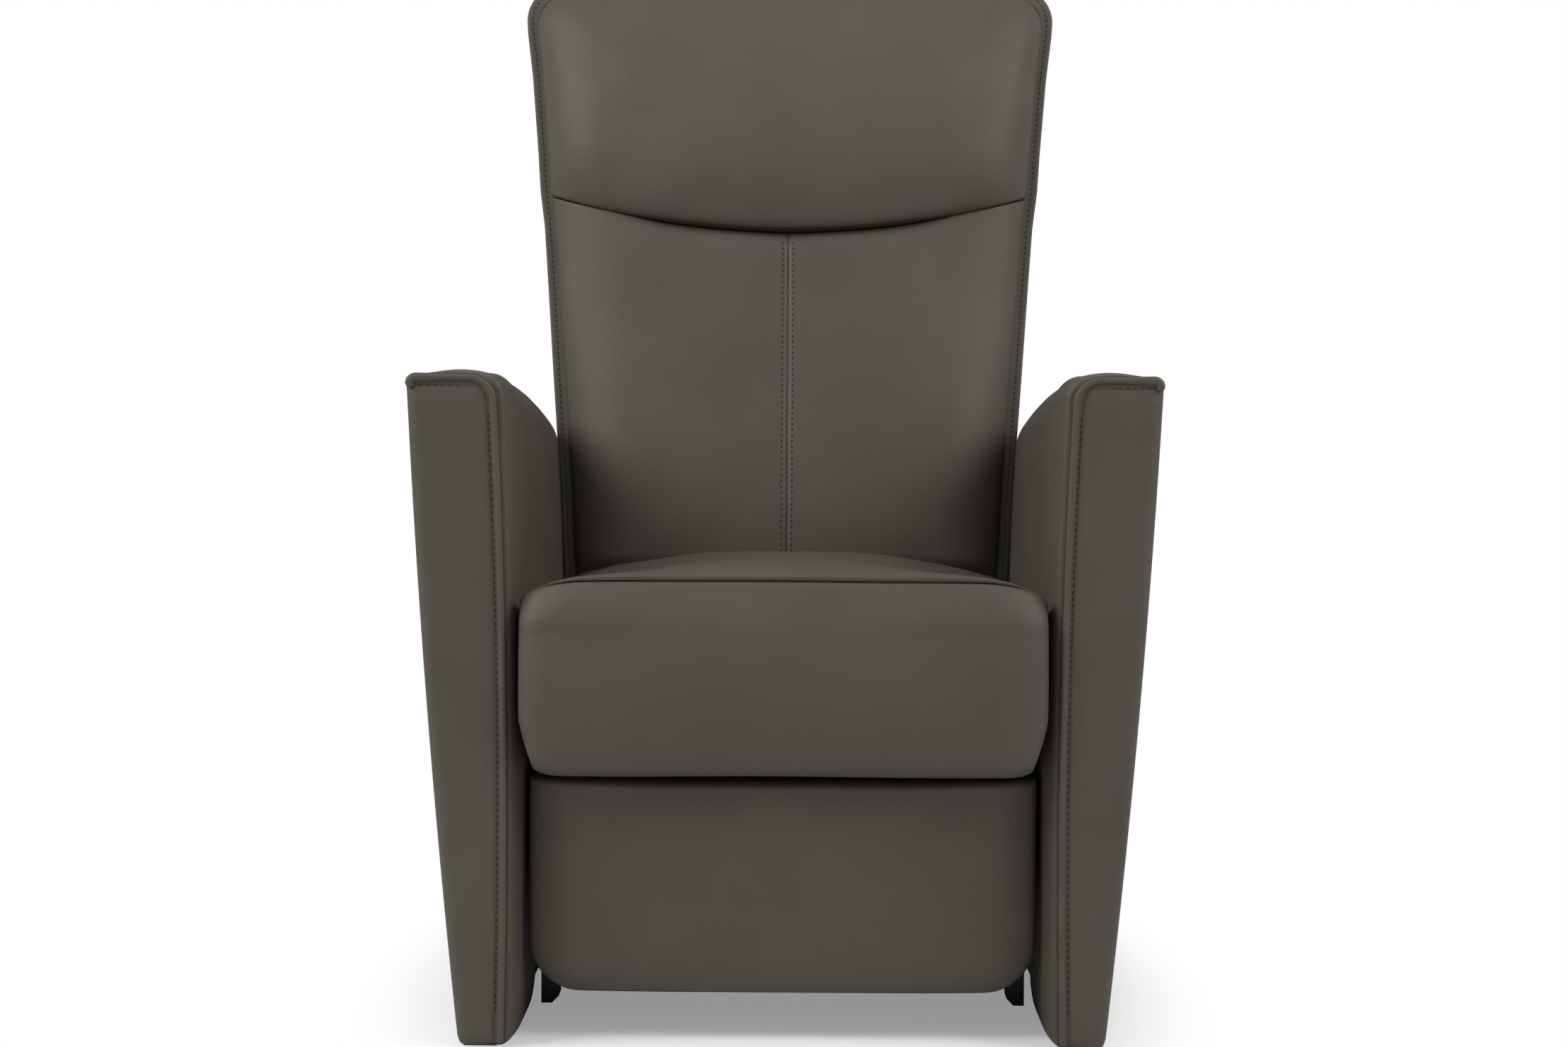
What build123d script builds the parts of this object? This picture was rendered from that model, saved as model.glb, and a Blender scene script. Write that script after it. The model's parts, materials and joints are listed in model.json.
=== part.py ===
from build123d import *
import os
from math import cos, hypot, radians, sin

os.makedirs("parts", exist_ok=True)

# All sizes in millimetres: x to the right, y to the rear, z up, floor at z 0.
# Main sizes of the chair.
SEAT_HALF = 249.0
SEAT_FRONT = -400.0
SEAT_CROWN = 471.0
DROP_BOTTOM = 263.0
DROP_DEPTH = 65.0
FRAME_BOTTOM = 300.0
FRAME_HEIGHT = 40.0
BELT_THICK = 2.0

# Arms.
ARM_FRONT = -382.0
ARM_REAR = 230.0
ARM_TOP = 649.0
ARM_GAP = 3.5
ARM_FOOT = 6.0
ARM_THICK_TOP = 108.0
ARM_THICK_LOW = 61.0
ARM_LEAN = 13.5
CORE_THICK = 24.0
CORE_HEIGHT = 554.0
FACING = 12.0
WELT_R = 3.5

# Reclining back.
RAKE = 13.0
PIVOT_Y = 165.0
PIVOT_Z = 375.0
BACK_LONG = 762.0
BACK_START = 30.0
BACK_GAP = 13.0
BACK_FLARE = 0.0885
BACK_FACE = 60.0
HEAD_FACE = 74.0
SHELL_DEEP = 60.0
SHELL_WALL = 8.0
SHELL_START = 48.0
LIP_WIDE = 11.0
LIP_THICK = 4.0
SMILE_MID = 445.0
SMILE_RISE = 60.0
RECLINE = 38.0

# Steel base.
RAIL_WIDE = 16.0
RAIL_HIGH = 30.0
RAIL_BOTTOM = 90.0
RAIL_FRONT = -175.0
RAIL_REAR = 208.0
FOOT_WIDE = 18.0
FOOT_DEEP = 32.0
TUBE_SET = 92.0
FOOT_FRONT_Y = -152.0
FOOT_REAR_Y = 188.0
PLATE_THICK = 4.0
PIN_R = 6.0
RUN_CLEAR = 0.05

# Footrest and its swinging lever.
REST_GAP = 2.0
REST_HALF = SEAT_HALF - REST_GAP
REST_TALL = 215.0
REST_CORNER = 45.0
REST_SET_BACK = 40.0
REST_PAD = 34.0
REST_BOARD = 12.0
LEVER_LONG = 141.6
LEVER_DROOP = 1.8
LEVER_THICK = 5.0
LEVER_R = 12.0
TILT_SHARE = 0.352
WHEEL_WIDE = 8.0
WHEEL_BIG = 28.4
BAND_THICK = 3.0

# Gas spring below the seat.
SPRING_ARM = 92.0
GAS_R = 11.0
ROD_R = 5.0

# Planes derived from the sizes above.
ARM_IN = SEAT_HALF + ARM_GAP
RAIL_OUT = SEAT_HALF - 1.0
RAIL_IN = RAIL_OUT - RAIL_WIDE
PLATE_IN = RAIL_IN - PLATE_THICK
LEVER_OUT = PLATE_IN - 2.0
LEVER_IN = LEVER_OUT - LEVER_THICK
WHEEL_OUT = LEVER_IN - 1.0
WHEEL_IN = WHEEL_OUT - WHEEL_WIDE
BRACKET_OUT = WHEEL_IN - 1.0
BRACKET_IN = BRACKET_OUT - LEVER_THICK
FRAME_TOP = FRAME_BOTTOM + FRAME_HEIGHT
CUSHION_LOW = FRAME_TOP + BELT_THICK
DROP_REAR = SEAT_FRONT + DROP_DEPTH
REST_FACE = SEAT_FRONT + REST_SET_BACK
REST_BACK = REST_FACE + REST_PAD + REST_BOARD
REST_TOP = DROP_BOTTOM - 5.0
REST_LOW = REST_TOP - REST_TALL
SWING = (REST_BACK + 18.8, DROP_BOTTOM + 7.8)
TILT = (
    SWING[0] + LEVER_LONG * cos(radians(LEVER_DROOP)),
    SWING[1] - LEVER_LONG * sin(radians(LEVER_DROOP)),
)
FRAME_REAR = PIVOT_Y - 73.0
BACK_HALF = SEAT_HALF - BACK_GAP


def save(name, shape):
    export_step(shape, "parts/" + name + ".step")


def save_pair(name, right):
    save(name + "_right", right)
    save(name + "_left", mirror(right, about=Plane.YZ))


def block(x0, x1, y0, y1, z0, z1):
    middle = Pos((x0 + x1) / 2, (y0 + y1) / 2, (z0 + z1) / 2)
    return middle * Box(x1 - x0, y1 - y0, z1 - z0)


def rod_x(x0, x1, at, radius):
    ring = Plane.YZ.offset(x0) * (Pos(at[0], at[1]) * Circle(radius))
    return extrude(ring, amount=x1 - x0)


def rod_y(y0, y1, x, z, radius):
    ring = Plane.XZ.offset(-y1) * (Pos(x, z) * Circle(radius))
    return extrude(ring, amount=y1 - y0)


def side_sheet(shape, x0, x1):
    return extrude(Plane.YZ.offset(x0) * shape, amount=x1 - x0)


def hull_of(rings):
    edges = []
    for y, z, radius in rings:
        edges += (Pos(y, z) * Circle(radius)).edges()
    return make_hull(edges)


def corner_mid(a, corner, b):
    return tuple(c + 0.293 * ((p - c) + (q - c)) for p, c, q in zip(a, corner, b))


def ring_of(points):
    # Points alternate between corners and the middles of the arcs between them.
    count = len(points) // 2
    edges = []
    for i in range(count):
        a = Vector(*points[2 * i])
        m = points[2 * i + 1]
        b = Vector(*points[(2 * i + 2) % len(points)])
        if m is None:
            edges.append(Edge.make_line(a, b))
        else:
            edges.append(Edge.make_three_point_arc(a, Vector(*m), b))
    return Wire(edges)


def skin(rings, ruled=False):
    return Solid.make_loft([ring_of(r) for r in rings], ruled)


# Base of black steel: two rails, two round cross tubes, four feet, two plates.
save_pair(
    "base_rail",
    block(RAIL_IN, RAIL_OUT, RAIL_FRONT, RAIL_REAR, RAIL_BOTTOM, RAIL_BOTTOM + RAIL_HIGH),
)
TUBE_Z = RAIL_BOTTOM + RAIL_HIGH / 2
TUBE_FRONT_Y = FOOT_FRONT_Y + TUBE_SET
save("cross_tube_front", rod_x(-PLATE_IN, PLATE_IN, (TUBE_FRONT_Y, TUBE_Z), 10.0))
save("cross_tube_rear", rod_x(-PLATE_IN, PLATE_IN, (FOOT_REAR_Y - 8.0, TUBE_Z), 10.0))
for name, foot_y in (("front", FOOT_FRONT_Y), ("rear", FOOT_REAR_Y)):
    foot = block(
        RAIL_OUT + 2.0 - FOOT_WIDE,
        RAIL_OUT + 2.0,
        foot_y - FOOT_DEEP / 2,
        foot_y + FOOT_DEEP / 2,
        0.0,
        RAIL_BOTTOM,
    )
    low_inner = foot.edges().filter_by(Axis.Y).group_by(Axis.Z)[0].sort_by(Axis.X)[0]
    save_pair("foot_" + name, chamfer(low_inner, 7.0))

# Side plates carry the seat frame and the pivots of the back and the footrest.
plate_outline = [
    (SWING[0] - 6.0, SWING[1] - 15.0),
    (RAIL_FRONT + 10.0, RAIL_BOTTOM + 2.0),
    (PIVOT_Y + 32.0, RAIL_BOTTOM + 2.0),
    (PIVOT_Y + 32.0, PIVOT_Z - 50.0),
    (PIVOT_Y + 21.0, PIVOT_Z - 6.0),
    (PIVOT_Y - 21.0, PIVOT_Z - 6.0),
    (PIVOT_Y - 50.0, FRAME_TOP - 5.0),
    (SWING[0] - 15.0, FRAME_TOP - 5.0),
    (SWING[0] - 15.0, SWING[1] + 2.0),
]
plate_face = make_face(Polyline(*plate_outline, close=True))
plate_face += Pos(PIVOT_Y, PIVOT_Z) * Circle(22.0)
plate_face += Pos(*SWING) * Circle(15.0)
plate_face -= Pos(PIVOT_Y, PIVOT_Z) * Circle(PIN_R)
plate_face -= Pos(*SWING) * Circle(PIN_R)
save_pair("side_plate", side_sheet(plate_face, PLATE_IN, RAIL_IN))

# Padded rear apron fixed to the ends of the rails.
apron_rings = []
APRON_HALF = SEAT_HALF + 1.5
for y, inset in ((RAIL_REAR, 0.0), (RAIL_REAR + 8.0, 0.0), (RAIL_REAR + 12.0, 8.0)):
    half = APRON_HALF - inset
    low = 30.0 + inset
    high = FRAME_TOP - 2.0 - inset
    corners = [(-half, y, low), (half, y, low), (half, y, high), (-half, y, high)]
    apron_rings.append([p for corner in corners for p in (corner, None)])
save("rear_apron", skin(apron_rings, True))

# Seat frame of hardwood with elastic belts across it.
RAIL_X = PLATE_IN - 30.0
FRONT_RAIL = DROP_REAR + 30.0
save_pair(
    "seat_rail", block(RAIL_X, PLATE_IN, DROP_REAR, FRAME_REAR, FRAME_BOTTOM, FRAME_TOP)
)
MID_Y = (FRONT_RAIL + FRAME_REAR) / 2
for name, y0 in (
    ("front", DROP_REAR),
    ("mid", MID_Y - 3.0),
    ("rear", FRAME_REAR - 30.0),
):
    cross = block(-RAIL_X, RAIL_X, y0, y0 + 30.0, FRAME_BOTTOM, FRAME_TOP)
    save("seat_rail_" + name, cross)
belts = []
BELT_COUNT = 6
BELT_STEP = (FRAME_REAR - DROP_REAR) / BELT_COUNT
for i in range(BELT_COUNT):
    belt_y = DROP_REAR + (i + 0.5) * BELT_STEP
    belts.append(
        block(
            -PLATE_IN + 2.0,
            PLATE_IN - 2.0,
            belt_y - 0.36 * BELT_STEP,
            belt_y + 0.36 * BELT_STEP,
            FRAME_TOP,
            CUSHION_LOW,
        )
    )
save("seat_webbing", Compound(belts))

# Seat cushion: crowned top, drawn-in sides, front roll that drops over the frame.
seat_rings = []
for u, fall, back_off, lift in (
    (-1.0, 44.0, 26.0, 24.0),
    (-0.94, 27.0, 12.0, 9.0),
    (-0.78, 14.0, 5.0, 3.0),
    (-0.42, 4.0, 1.0, 0.5),
    (0.0, 0.0, 0.0, 0.0),
    (0.42, 4.0, 1.0, 0.5),
    (0.78, 14.0, 5.0, 3.0),
    (0.94, 27.0, 12.0, 9.0),
    (1.0, 44.0, 26.0, 24.0),
):
    x = u * SEAT_HALF
    top = SEAT_CROWN - fall
    face = SEAT_FRONT + back_off
    low = DROP_BOTTOM + lift
    rear_top = PIVOT_Y - 52.0 - 0.5 * back_off
    under = CUSHION_LOW
    a = (x, DROP_REAR, low)
    b = (x, face + 36.0, low)
    c = (x, face + 3.0, low + 42.0)
    d = (x, face + 7.0, top - 58.0)
    e = (x, face + 44.0, top - 17.0)
    f = (x, rear_top - 5.0, top - 12.0)
    g = (x, rear_top - 12.0, under)
    h = (x, DROP_REAR, under)
    seat_rings.append(
        [
            a,
            None,
            b,
            corner_mid(b, (x, face + 3.0, low), c),
            c,
            (x, face, (low + top) / 2),
            d,
            corner_mid(d, (x, face + 7.0, top - 17.0), e),
            e,
            (x, -0.35 * PIVOT_Y - 90.0, top),
            f,
            (x, rear_top - 4.0, (top + under) / 2),
            g,
            None,
            h,
            None,
        ]
    )
save("seat_cushion", skin(seat_rings))

# Arms: board core, upholstered pad over it, crowned front facing, sewn welt, glides.
CORE_IN = ARM_IN + CORE_THICK - 0.5
CORE_OUT = CORE_IN + CORE_THICK
PAD_FRONT = ARM_FRONT + FACING


def arm_ring(y, drop, inner, low_inner, shoulder, squeeze):
    top = ARM_TOP - drop
    out_top = ARM_IN + ARM_THICK_TOP - squeeze
    out_low = ARM_IN + ARM_THICK_LOW - squeeze
    in_top = ARM_IN + ARM_LEAN + inner
    in_mid = ARM_IN + inner
    a = (out_low, y, ARM_FOOT + 14.0)
    b = (out_top, y, top - 26.0)
    c = (out_top - 20.0, y, top)
    d = (in_top + shoulder, y, top - 1.0)
    e = (in_top, y, top - shoulder)
    f = (in_mid, y, 0.6 * ARM_TOP)
    g = (in_mid, y, ARM_FOOT + 70.0)
    h = (in_mid + low_inner, y, ARM_FOOT)
    i = (out_low - 8.0, y, ARM_FOOT)
    return [
        a,
        ((a[0] + b[0]) / 2 + 4.5, y, (a[2] + b[2]) / 2),
        b,
        corner_mid(b, (out_top, y, top), c),
        c,
        ((c[0] + d[0]) / 2, y, top + 2.0),
        d,
        corner_mid(d, (in_top, y, top - 1.0), e),
        e,
        None,
        f,
        None,
        g,
        corner_mid(g, (in_mid, y, ARM_FOOT + 8.0), h),
        h,
        None,
        i,
        corner_mid(i, (out_low, y, ARM_FOOT), a),
    ]


arm_rings = [
    arm_ring(PAD_FRONT, 0.0, 11.5, 6.0, 22.0, 0.0),
    arm_ring(PAD_FRONT + 40.0, -3.0, 3.0, 10.0, 34.0, 0.0),
    arm_ring(PAD_FRONT + 130.0, -3.0, 0.0, 10.0, 46.0, 0.0),
    arm_ring(PAD_FRONT + 0.6 * (ARM_REAR - PAD_FRONT), 4.0, 0.0, 10.0, 54.0, 0.0),
    arm_ring(ARM_REAR - 40.0, 14.0, 0.0, 10.0, 56.0, 1.0),
    arm_ring(ARM_REAR, 28.0, 3.0, 10.0, 50.0, 8.0),
]
arm_core = block(
    CORE_IN, CORE_OUT, PAD_FRONT + 8.0, ARM_REAR - 20.0, ARM_FOOT, ARM_FOOT + CORE_HEIGHT
)
arm_pad = skin(arm_rings, True) - arm_core
bolts = []
for bolt_y in (FOOT_FRONT_Y + 75.0, FOOT_REAR_Y - 76.0):
    bolts.append(rod_x(RAIL_OUT, CORE_IN, (bolt_y, TUBE_Z), 9.0))
for bolt in bolts:
    arm_pad = arm_pad - bolt
save_pair("arm_core", arm_core)
save_pair("arm_pad", arm_pad)
save_pair("arm_bracket", Compound(bolts))
glides = []
for share in (0.06, 0.5, 0.94):
    glide_y = PAD_FRONT + 8.0 + share * (ARM_REAR - 28.0 - PAD_FRONT)
    glides.append(
        Pos((CORE_IN + CORE_OUT) / 2, glide_y, ARM_FOOT / 2) * Cylinder(11.0, ARM_FOOT)
    )
save_pair("arm_glides", Compound(glides))

EDGE_IN = ARM_IN + 11.5
EDGE_TOP = ARM_TOP - WELT_R


def facing_ring(y, inset):
    left_top = EDGE_IN + ARM_LEAN - 7.0 + 2 * WELT_R + 0.5 + inset
    left_mid = EDGE_IN + 2 * WELT_R + 2.5 + inset
    right_top = ARM_IN + ARM_THICK_TOP - inset
    right_low = ARM_IN + ARM_THICK_LOW - inset
    low = ARM_FOOT + 1.0 + inset
    top = EDGE_TOP - WELT_R - inset
    a = (left_mid + 5.0, y, low)
    b = (right_low - 8.0, y, low)
    c = (right_low, y, low + 14.0)
    d = (right_top, y, top - 12.0)
    e = (right_top - 6.0, y, top)
    f = (left_top + 18.0, y, top)
    g = (left_top, y, top - 18.0)
    return [
        a,
        None,
        b,
        corner_mid(b, (right_low, y, low), c),
        c,
        ((c[0] + d[0]) / 2 + 4.0, y, (c[2] + d[2]) / 2),
        d,
        corner_mid(d, (right_top, y, top), e),
        e,
        None,
        f,
        corner_mid(f, (left_top, y, top), g),
        g,
        (left_mid, y, 0.46 * ARM_TOP),
    ]


save_pair(
    "arm_front",
    skin(
        [
            facing_ring(PAD_FRONT, 0.0),
            facing_ring(ARM_FRONT + 3.0, 0.0),
            facing_ring(ARM_FRONT, 5.0),
        ],
        True,
    ),
)
welt_y = PAD_FRONT - WELT_R
welt_top_x = EDGE_IN + ARM_LEAN - 7.0 + WELT_R
welt_a = (ARM_IN + ARM_THICK_TOP + 3.0, welt_y, EDGE_TOP)
welt_b = (welt_top_x + 18.0 + WELT_R, welt_y, EDGE_TOP)
welt_c = (welt_top_x, welt_y, EDGE_TOP - 18.0 - WELT_R)
welt_mid = (EDGE_IN + WELT_R, welt_y, 0.46 * ARM_TOP)
welt_d = (EDGE_IN + WELT_R + 5.0, welt_y, ARM_FOOT + 1.0)
welt_path = Wire(
    [
        Edge.make_line(Vector(*welt_a), Vector(*welt_b)),
        Edge.make_three_point_arc(
            Vector(*welt_b),
            Vector(*corner_mid(welt_b, (welt_top_x, welt_y, EDGE_TOP), welt_c)),
            Vector(*welt_c),
        ),
        Edge.make_spline(
            [Vector(*welt_c), Vector(*welt_mid), Vector(*welt_d)],
            tangents=[Vector(0, 0, -1), Vector(0.03, 0, -1)],
        ),
    ]
)
welt_start = Plane(origin=welt_a, x_dir=(0, 1, 0), z_dir=(-1, 0, 0))
welt = sweep(welt_start * Circle(WELT_R), path=welt_path)
save_pair("arm_welt", welt)

# Pins of the footrest swing, each with its fixed tilt wheel, and of the back.
wheel_small = WHEEL_BIG * TILT_SHARE
swing_pin = rod_x(WHEEL_IN, WHEEL_OUT, SWING, wheel_small)
swing_pin += rod_x(WHEEL_OUT, RAIL_IN + 2.0, SWING, PIN_R)
save_pair("footrest_pin", swing_pin)
PIVOT = (PIVOT_Y, PIVOT_Z)
HINGE_OUT = LEVER_OUT
HINGE_IN = LEVER_IN
recline_pin = rod_x(HINGE_IN - 0.5, RAIL_IN + 3.0, PIVOT, PIN_R)
recline_pin += rod_x(HINGE_IN - 3.5, HINGE_IN - 0.5, PIVOT, 9.0)
save_pair("recline_pin", recline_pin)

# Gas spring in the middle below the seat, pushed by an arm on the back.
HALF_TURN = radians(RECLINE / 2)
GAS_END_Y = PIVOT_Y + SPRING_ARM * sin(HALF_TURN)
GAS_TRAVEL = 2 * SPRING_ARM * sin(HALF_TURN)
GAS_Z = PIVOT_Z - SPRING_ARM * (1 + cos(HALF_TURN)) / 2
TUBE_REAR_Y = GAS_END_Y - 36.0 - GAS_TRAVEL
TUBE_NOSE_Y = MID_Y + 18.0
EYE_Y = MID_Y + 8.0
gas_tube = rod_y(TUBE_NOSE_Y, TUBE_REAR_Y, 0.0, GAS_Z, GAS_R)
gas_tube += block(-6.0, 6.0, EYE_Y - 8.0, TUBE_NOSE_Y + 1.0, GAS_Z - 8.0, GAS_Z + 8.0)
gas_tube -= rod_y(TUBE_NOSE_Y + 8.0, TUBE_REAR_Y + 1.0, 0.0, GAS_Z, ROD_R + RUN_CLEAR)
gas_tube -= rod_x(-10.0, 10.0, (EYE_Y, GAS_Z), 4.0)
save("gas_cylinder", gas_tube)
gas_mount = rod_x(-11.0, 11.0, (EYE_Y, GAS_Z), 4.0)
for side in (-1, 1):
    x0 = min(side * 6.5, side * 10.5)
    gas_mount += block(x0, x0 + 4.0, EYE_Y - 9.0, EYE_Y + 9.0, GAS_Z - 9.0, FRAME_BOTTOM)
save("gas_mount", gas_mount)
ROD_NOSE_Y = TUBE_NOSE_Y + 10.0 + GAS_TRAVEL
FORK_Y = GAS_END_Y - 30.0
gas_rod = rod_y(ROD_NOSE_Y, FORK_Y + 1.0, 0.0, GAS_Z, ROD_R)
gas_rod += block(-9.0, 9.0, FORK_Y, FORK_Y + 12.0, GAS_Z - 8.0, GAS_Z + 8.0)
for side in (-1, 1):
    x0 = min(side * 5.0, side * 9.0)
    cheek = block(x0, x0 + 4.0, FORK_Y + 11.0, GAS_END_Y, GAS_Z - 11.0, GAS_Z + 11.0)
    cheek += rod_x(x0, x0 + 4.0, (GAS_END_Y, GAS_Z), 11.0)
    gas_rod += cheek - rod_x(x0 - 1.0, x0 + 5.0, (GAS_END_Y, GAS_Z), 7.2)
save("gas_rod", gas_rod)

# The back is drawn upright about its pivot and then leaned by the rake.
LEAN = Pos(0.0, PIVOT_Y, PIVOT_Z) * Rot(-RAKE, 0.0, 0.0)


def lean_save(name, shape):
    save(name, LEAN * shape)


def lean_pair(name, right):
    lean_save(name + "_right", right)
    lean_save(name + "_left", mirror(right, about=Plane.YZ))


def half_at(s):
    return BACK_HALF + BACK_FLARE * s


POST_X = HINGE_IN - 10.0
POST_N = 22.0
POST_TOP = 0.79 * BACK_LONG
post = Pos(POST_X, POST_N, (10.0 + POST_TOP) / 2) * Cylinder(10.0, POST_TOP - 10.0)
lean_pair("back_upright", post)
POST_IN = POST_X - 9.9
for name, s in (
    ("low", 24.0),
    ("mid", 0.43 * BACK_LONG),
    ("top", POST_TOP - 12.0),
):
    tube = rod_x(-POST_X, POST_X, (POST_N, s), 8.0)
    for side in (-1, 1):
        tube -= Pos(side * POST_X, POST_N, (10.0 + POST_TOP) / 2) * Cylinder(10.0, POST_TOP)
    lean_save("back_tube_" + name, tube)
hinge_face = hull_of([(0.0, 0.0, 14.0), (POST_N - 4.0, 46.0, 13.0)])
hinge_face += hull_of([(POST_N - 4.0, 46.0, 13.0), (POST_N - 4.0, 118.0, 13.0)])
hinge = side_sheet(hinge_face, HINGE_IN, HINGE_OUT)
hinge -= rod_x(HINGE_IN - 1.0, HINGE_OUT + 1.0, (0.0, 0.0), PIN_R + RUN_CLEAR)
lean_pair("back_hinge", hinge)
straps = []
STRAP_N = POST_N - 10.0
for i in range(6):
    s = (0.183 + 0.15 * i) * POST_TOP
    straps.append(block(-POST_X, POST_X, STRAP_N - 2.0, STRAP_N, s - 24.0, s + 24.0))
lean_save("back_webbing", Compound(straps))


def back_outline(grow, low, top, corner):
    w_low = half_at(low) + grow
    w_top = half_at(top) + grow
    points = [(-w_low, low), (w_low, low), (w_top, top), (-w_top, top)]
    face = make_face(Polyline(*points, close=True))
    upper = face.vertices().group_by(Axis.Y)[-1]
    return fillet(upper, corner)


SHELL_TOP = BACK_LONG - 2.0
outer = back_outline(0.0, SHELL_START, SHELL_TOP, 44.0)
inner = back_outline(-SHELL_WALL, SHELL_START - 5.0, SHELL_TOP - SHELL_WALL, 36.0)
lip = back_outline(LIP_WIDE, SHELL_START, SHELL_TOP + LIP_WIDE, 52.0)
shell = extrude(Plane.XZ.offset(-SHELL_DEEP) * outer, amount=SHELL_DEEP)
shell += extrude(Plane.XZ * lip, amount=LIP_THICK)
cavity = POST_N + 10.0
shell -= extrude(Plane.XZ.offset(-cavity) * inner, amount=cavity + LIP_THICK + 1.0)
lean_save("back_shell", shell)


def back_ring(u, s_low, s_top, face, bulge, thin, low_round, top_round):
    def at(n, s):
        return (u * half_at(s), -n, s)

    rear = LIP_THICK
    low_n = face - thin
    top_n = face - 0.8 * thin
    a = at(rear, s_low)
    b = at(rear, s_top)
    c = at(top_n - top_round, s_top)
    d = at(top_n, s_top - top_round)
    e = at(low_n, s_low + low_round)
    f = at(low_n - low_round, s_low)
    return [
        a,
        None,
        b,
        None,
        c,
        corner_mid(c, at(top_n, s_top), d),
        d,
        at(face - 0.7 * thin + bulge, (s_low + s_top) / 2),
        e,
        corner_mid(e, at(low_n, s_low), f),
        f,
        None,
    ]


STATIONS = (
    (-1.0, 40.0, 0.3, 44.0),
    (-0.95, 25.0, 0.6, 20.0),
    (-0.82, 13.0, 0.85, 8.0),
    (-0.45, 4.0, 1.0, 2.0),
    (0.0, 0.0, 1.0, 0.0),
    (0.45, 4.0, 1.0, 2.0),
    (0.82, 13.0, 0.85, 8.0),
    (0.95, 25.0, 0.6, 20.0),
    (1.0, 40.0, 0.3, 44.0),
)
back_rings = []
head_rings = []
for u, thin, soft, fall in STATIONS:
    smile = SMILE_MID + SMILE_RISE * u * u
    back_rings.append(
        back_ring(u, BACK_START, smile - 1.0, BACK_FACE, 9.0 * soft, thin, 22.0 * soft, 20.0 * soft)
    )
    head_rings.append(
        back_ring(
            u,
            smile + 1.0,
            BACK_LONG - fall,
            HEAD_FACE,
            10.0 * soft,
            1.3 * thin,
            26.0 * soft,
            34.0 * soft,
        )
    )
lean_save("back_cushion", skin(back_rings))
lean_save("headrest_cushion", skin(head_rings))

# Arm on the back that pushes the gas spring, with its pin.
rake = radians(RAKE)
end_y = SPRING_ARM * sin(HALF_TURN)
end_z = -SPRING_ARM * cos(HALF_TURN)
END = (end_y * cos(rake) - end_z * sin(rake), end_y * sin(rake) + end_z * cos(rake))
push = side_sheet(hull_of([(POST_N, 24.0, 13.0), (END[0], END[1], 10.0)]), -4.0, 4.0)
push -= rod_x(-5.0, 5.0, (POST_N, 24.0), 8.0)
push += rod_x(-11.0, 11.0, END, 4.0)
lean_save("spring_arm", push)

# Footrest: two levers joined by a tube, tilt bands, brackets, board and pad.
lever = side_sheet(hull_of([SWING + (LEVER_R,), TILT + (LEVER_R,)]), LEVER_IN, LEVER_OUT)
lever -= rod_x(LEVER_IN - 1.0, LEVER_OUT + 1.0, SWING, PIN_R + RUN_CLEAR)
lever -= rod_x(LEVER_IN - 1.0, LEVER_OUT + 1.0, TILT, PIN_R)
save_pair("footrest_lever", lever)
TIE = tuple(p + 0.42 * (q - p) for p, q in zip(SWING, TILT))
save("lever_tube", rod_x(-LEVER_IN, LEVER_IN, TIE, 8.0))
tilt_pin = rod_x(BRACKET_IN - 0.5, LEVER_OUT, TILT, PIN_R)
tilt_pin += rod_x(BRACKET_IN - 3.5, BRACKET_IN - 0.5, TILT, 9.0)
save_pair("tilt_pin", tilt_pin)
near = 0.3
far = near + BAND_THICK
band = hull_of([SWING + (wheel_small + far,), TILT + (WHEEL_BIG + far,)])
band -= hull_of([SWING + (wheel_small + near,), TILT + (WHEEL_BIG + near,)])
save_pair("tilt_band", side_sheet(band, WHEEL_IN + 0.5, WHEEL_OUT - 0.5))
foot_z0 = REST_TOP - 0.75 * REST_TALL
foot_z1 = REST_TOP - 0.432 * REST_TALL
bracket_face = make_hull(
    (Pos(*TILT) * Circle(16.0)).edges()
    + (Pos(REST_BACK + 2.0, (foot_z0 + foot_z1) / 2) * Rectangle(4.0, foot_z1 - foot_z0)).edges()
)
bracket = side_sheet(bracket_face, BRACKET_IN, BRACKET_OUT)
bracket += rod_x(BRACKET_OUT - 1.0, WHEEL_OUT, TILT, WHEEL_BIG)
bracket += block(BRACKET_IN - 22.0, BRACKET_OUT, REST_BACK, REST_BACK + 5.0, foot_z0, foot_z1)
bracket -= rod_x(BRACKET_IN - 1.0, WHEEL_OUT + 1.0, TILT, PIN_R + RUN_CLEAR)
save_pair("footrest_bracket", bracket)


def rest_ring(y, inset):
    half = REST_HALF - inset
    low = REST_LOW + inset
    top = REST_TOP - inset
    big = REST_CORNER - 0.5 * inset
    small = 14.0
    a = (-half + big, y, low)
    b = (half - big, y, low)
    c = (half, y, low + big)
    d = (half, y, top - small)
    e = (half - small, y, top)
    f = (-half + small, y, top)
    g = (-half, y, top - small)
    h = (-half, y, low + big)
    return [
        a,
        None,
        b,
        corner_mid(b, (half, y, low), c),
        c,
        None,
        d,
        corner_mid(d, (half, y, top), e),
        e,
        None,
        f,
        corner_mid(f, (-half, y, top), g),
        g,
        None,
        h,
        corner_mid(h, (-half, y, low), a),
    ]


BOARD_FACE = REST_FACE + REST_PAD
save("footrest_board", skin([rest_ring(BOARD_FACE, 4.0), rest_ring(REST_BACK, 4.0)], True))
save(
    "footrest_pad",
    skin(
        [
            rest_ring(BOARD_FACE, 1.0),
            rest_ring(BOARD_FACE - 0.4 * REST_PAD, 0.0),
            rest_ring(REST_FACE + 0.25 * REST_PAD, 4.0),
            rest_ring(REST_FACE, 17.0),
        ]
    ),
)
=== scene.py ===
import json
import math

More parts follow.
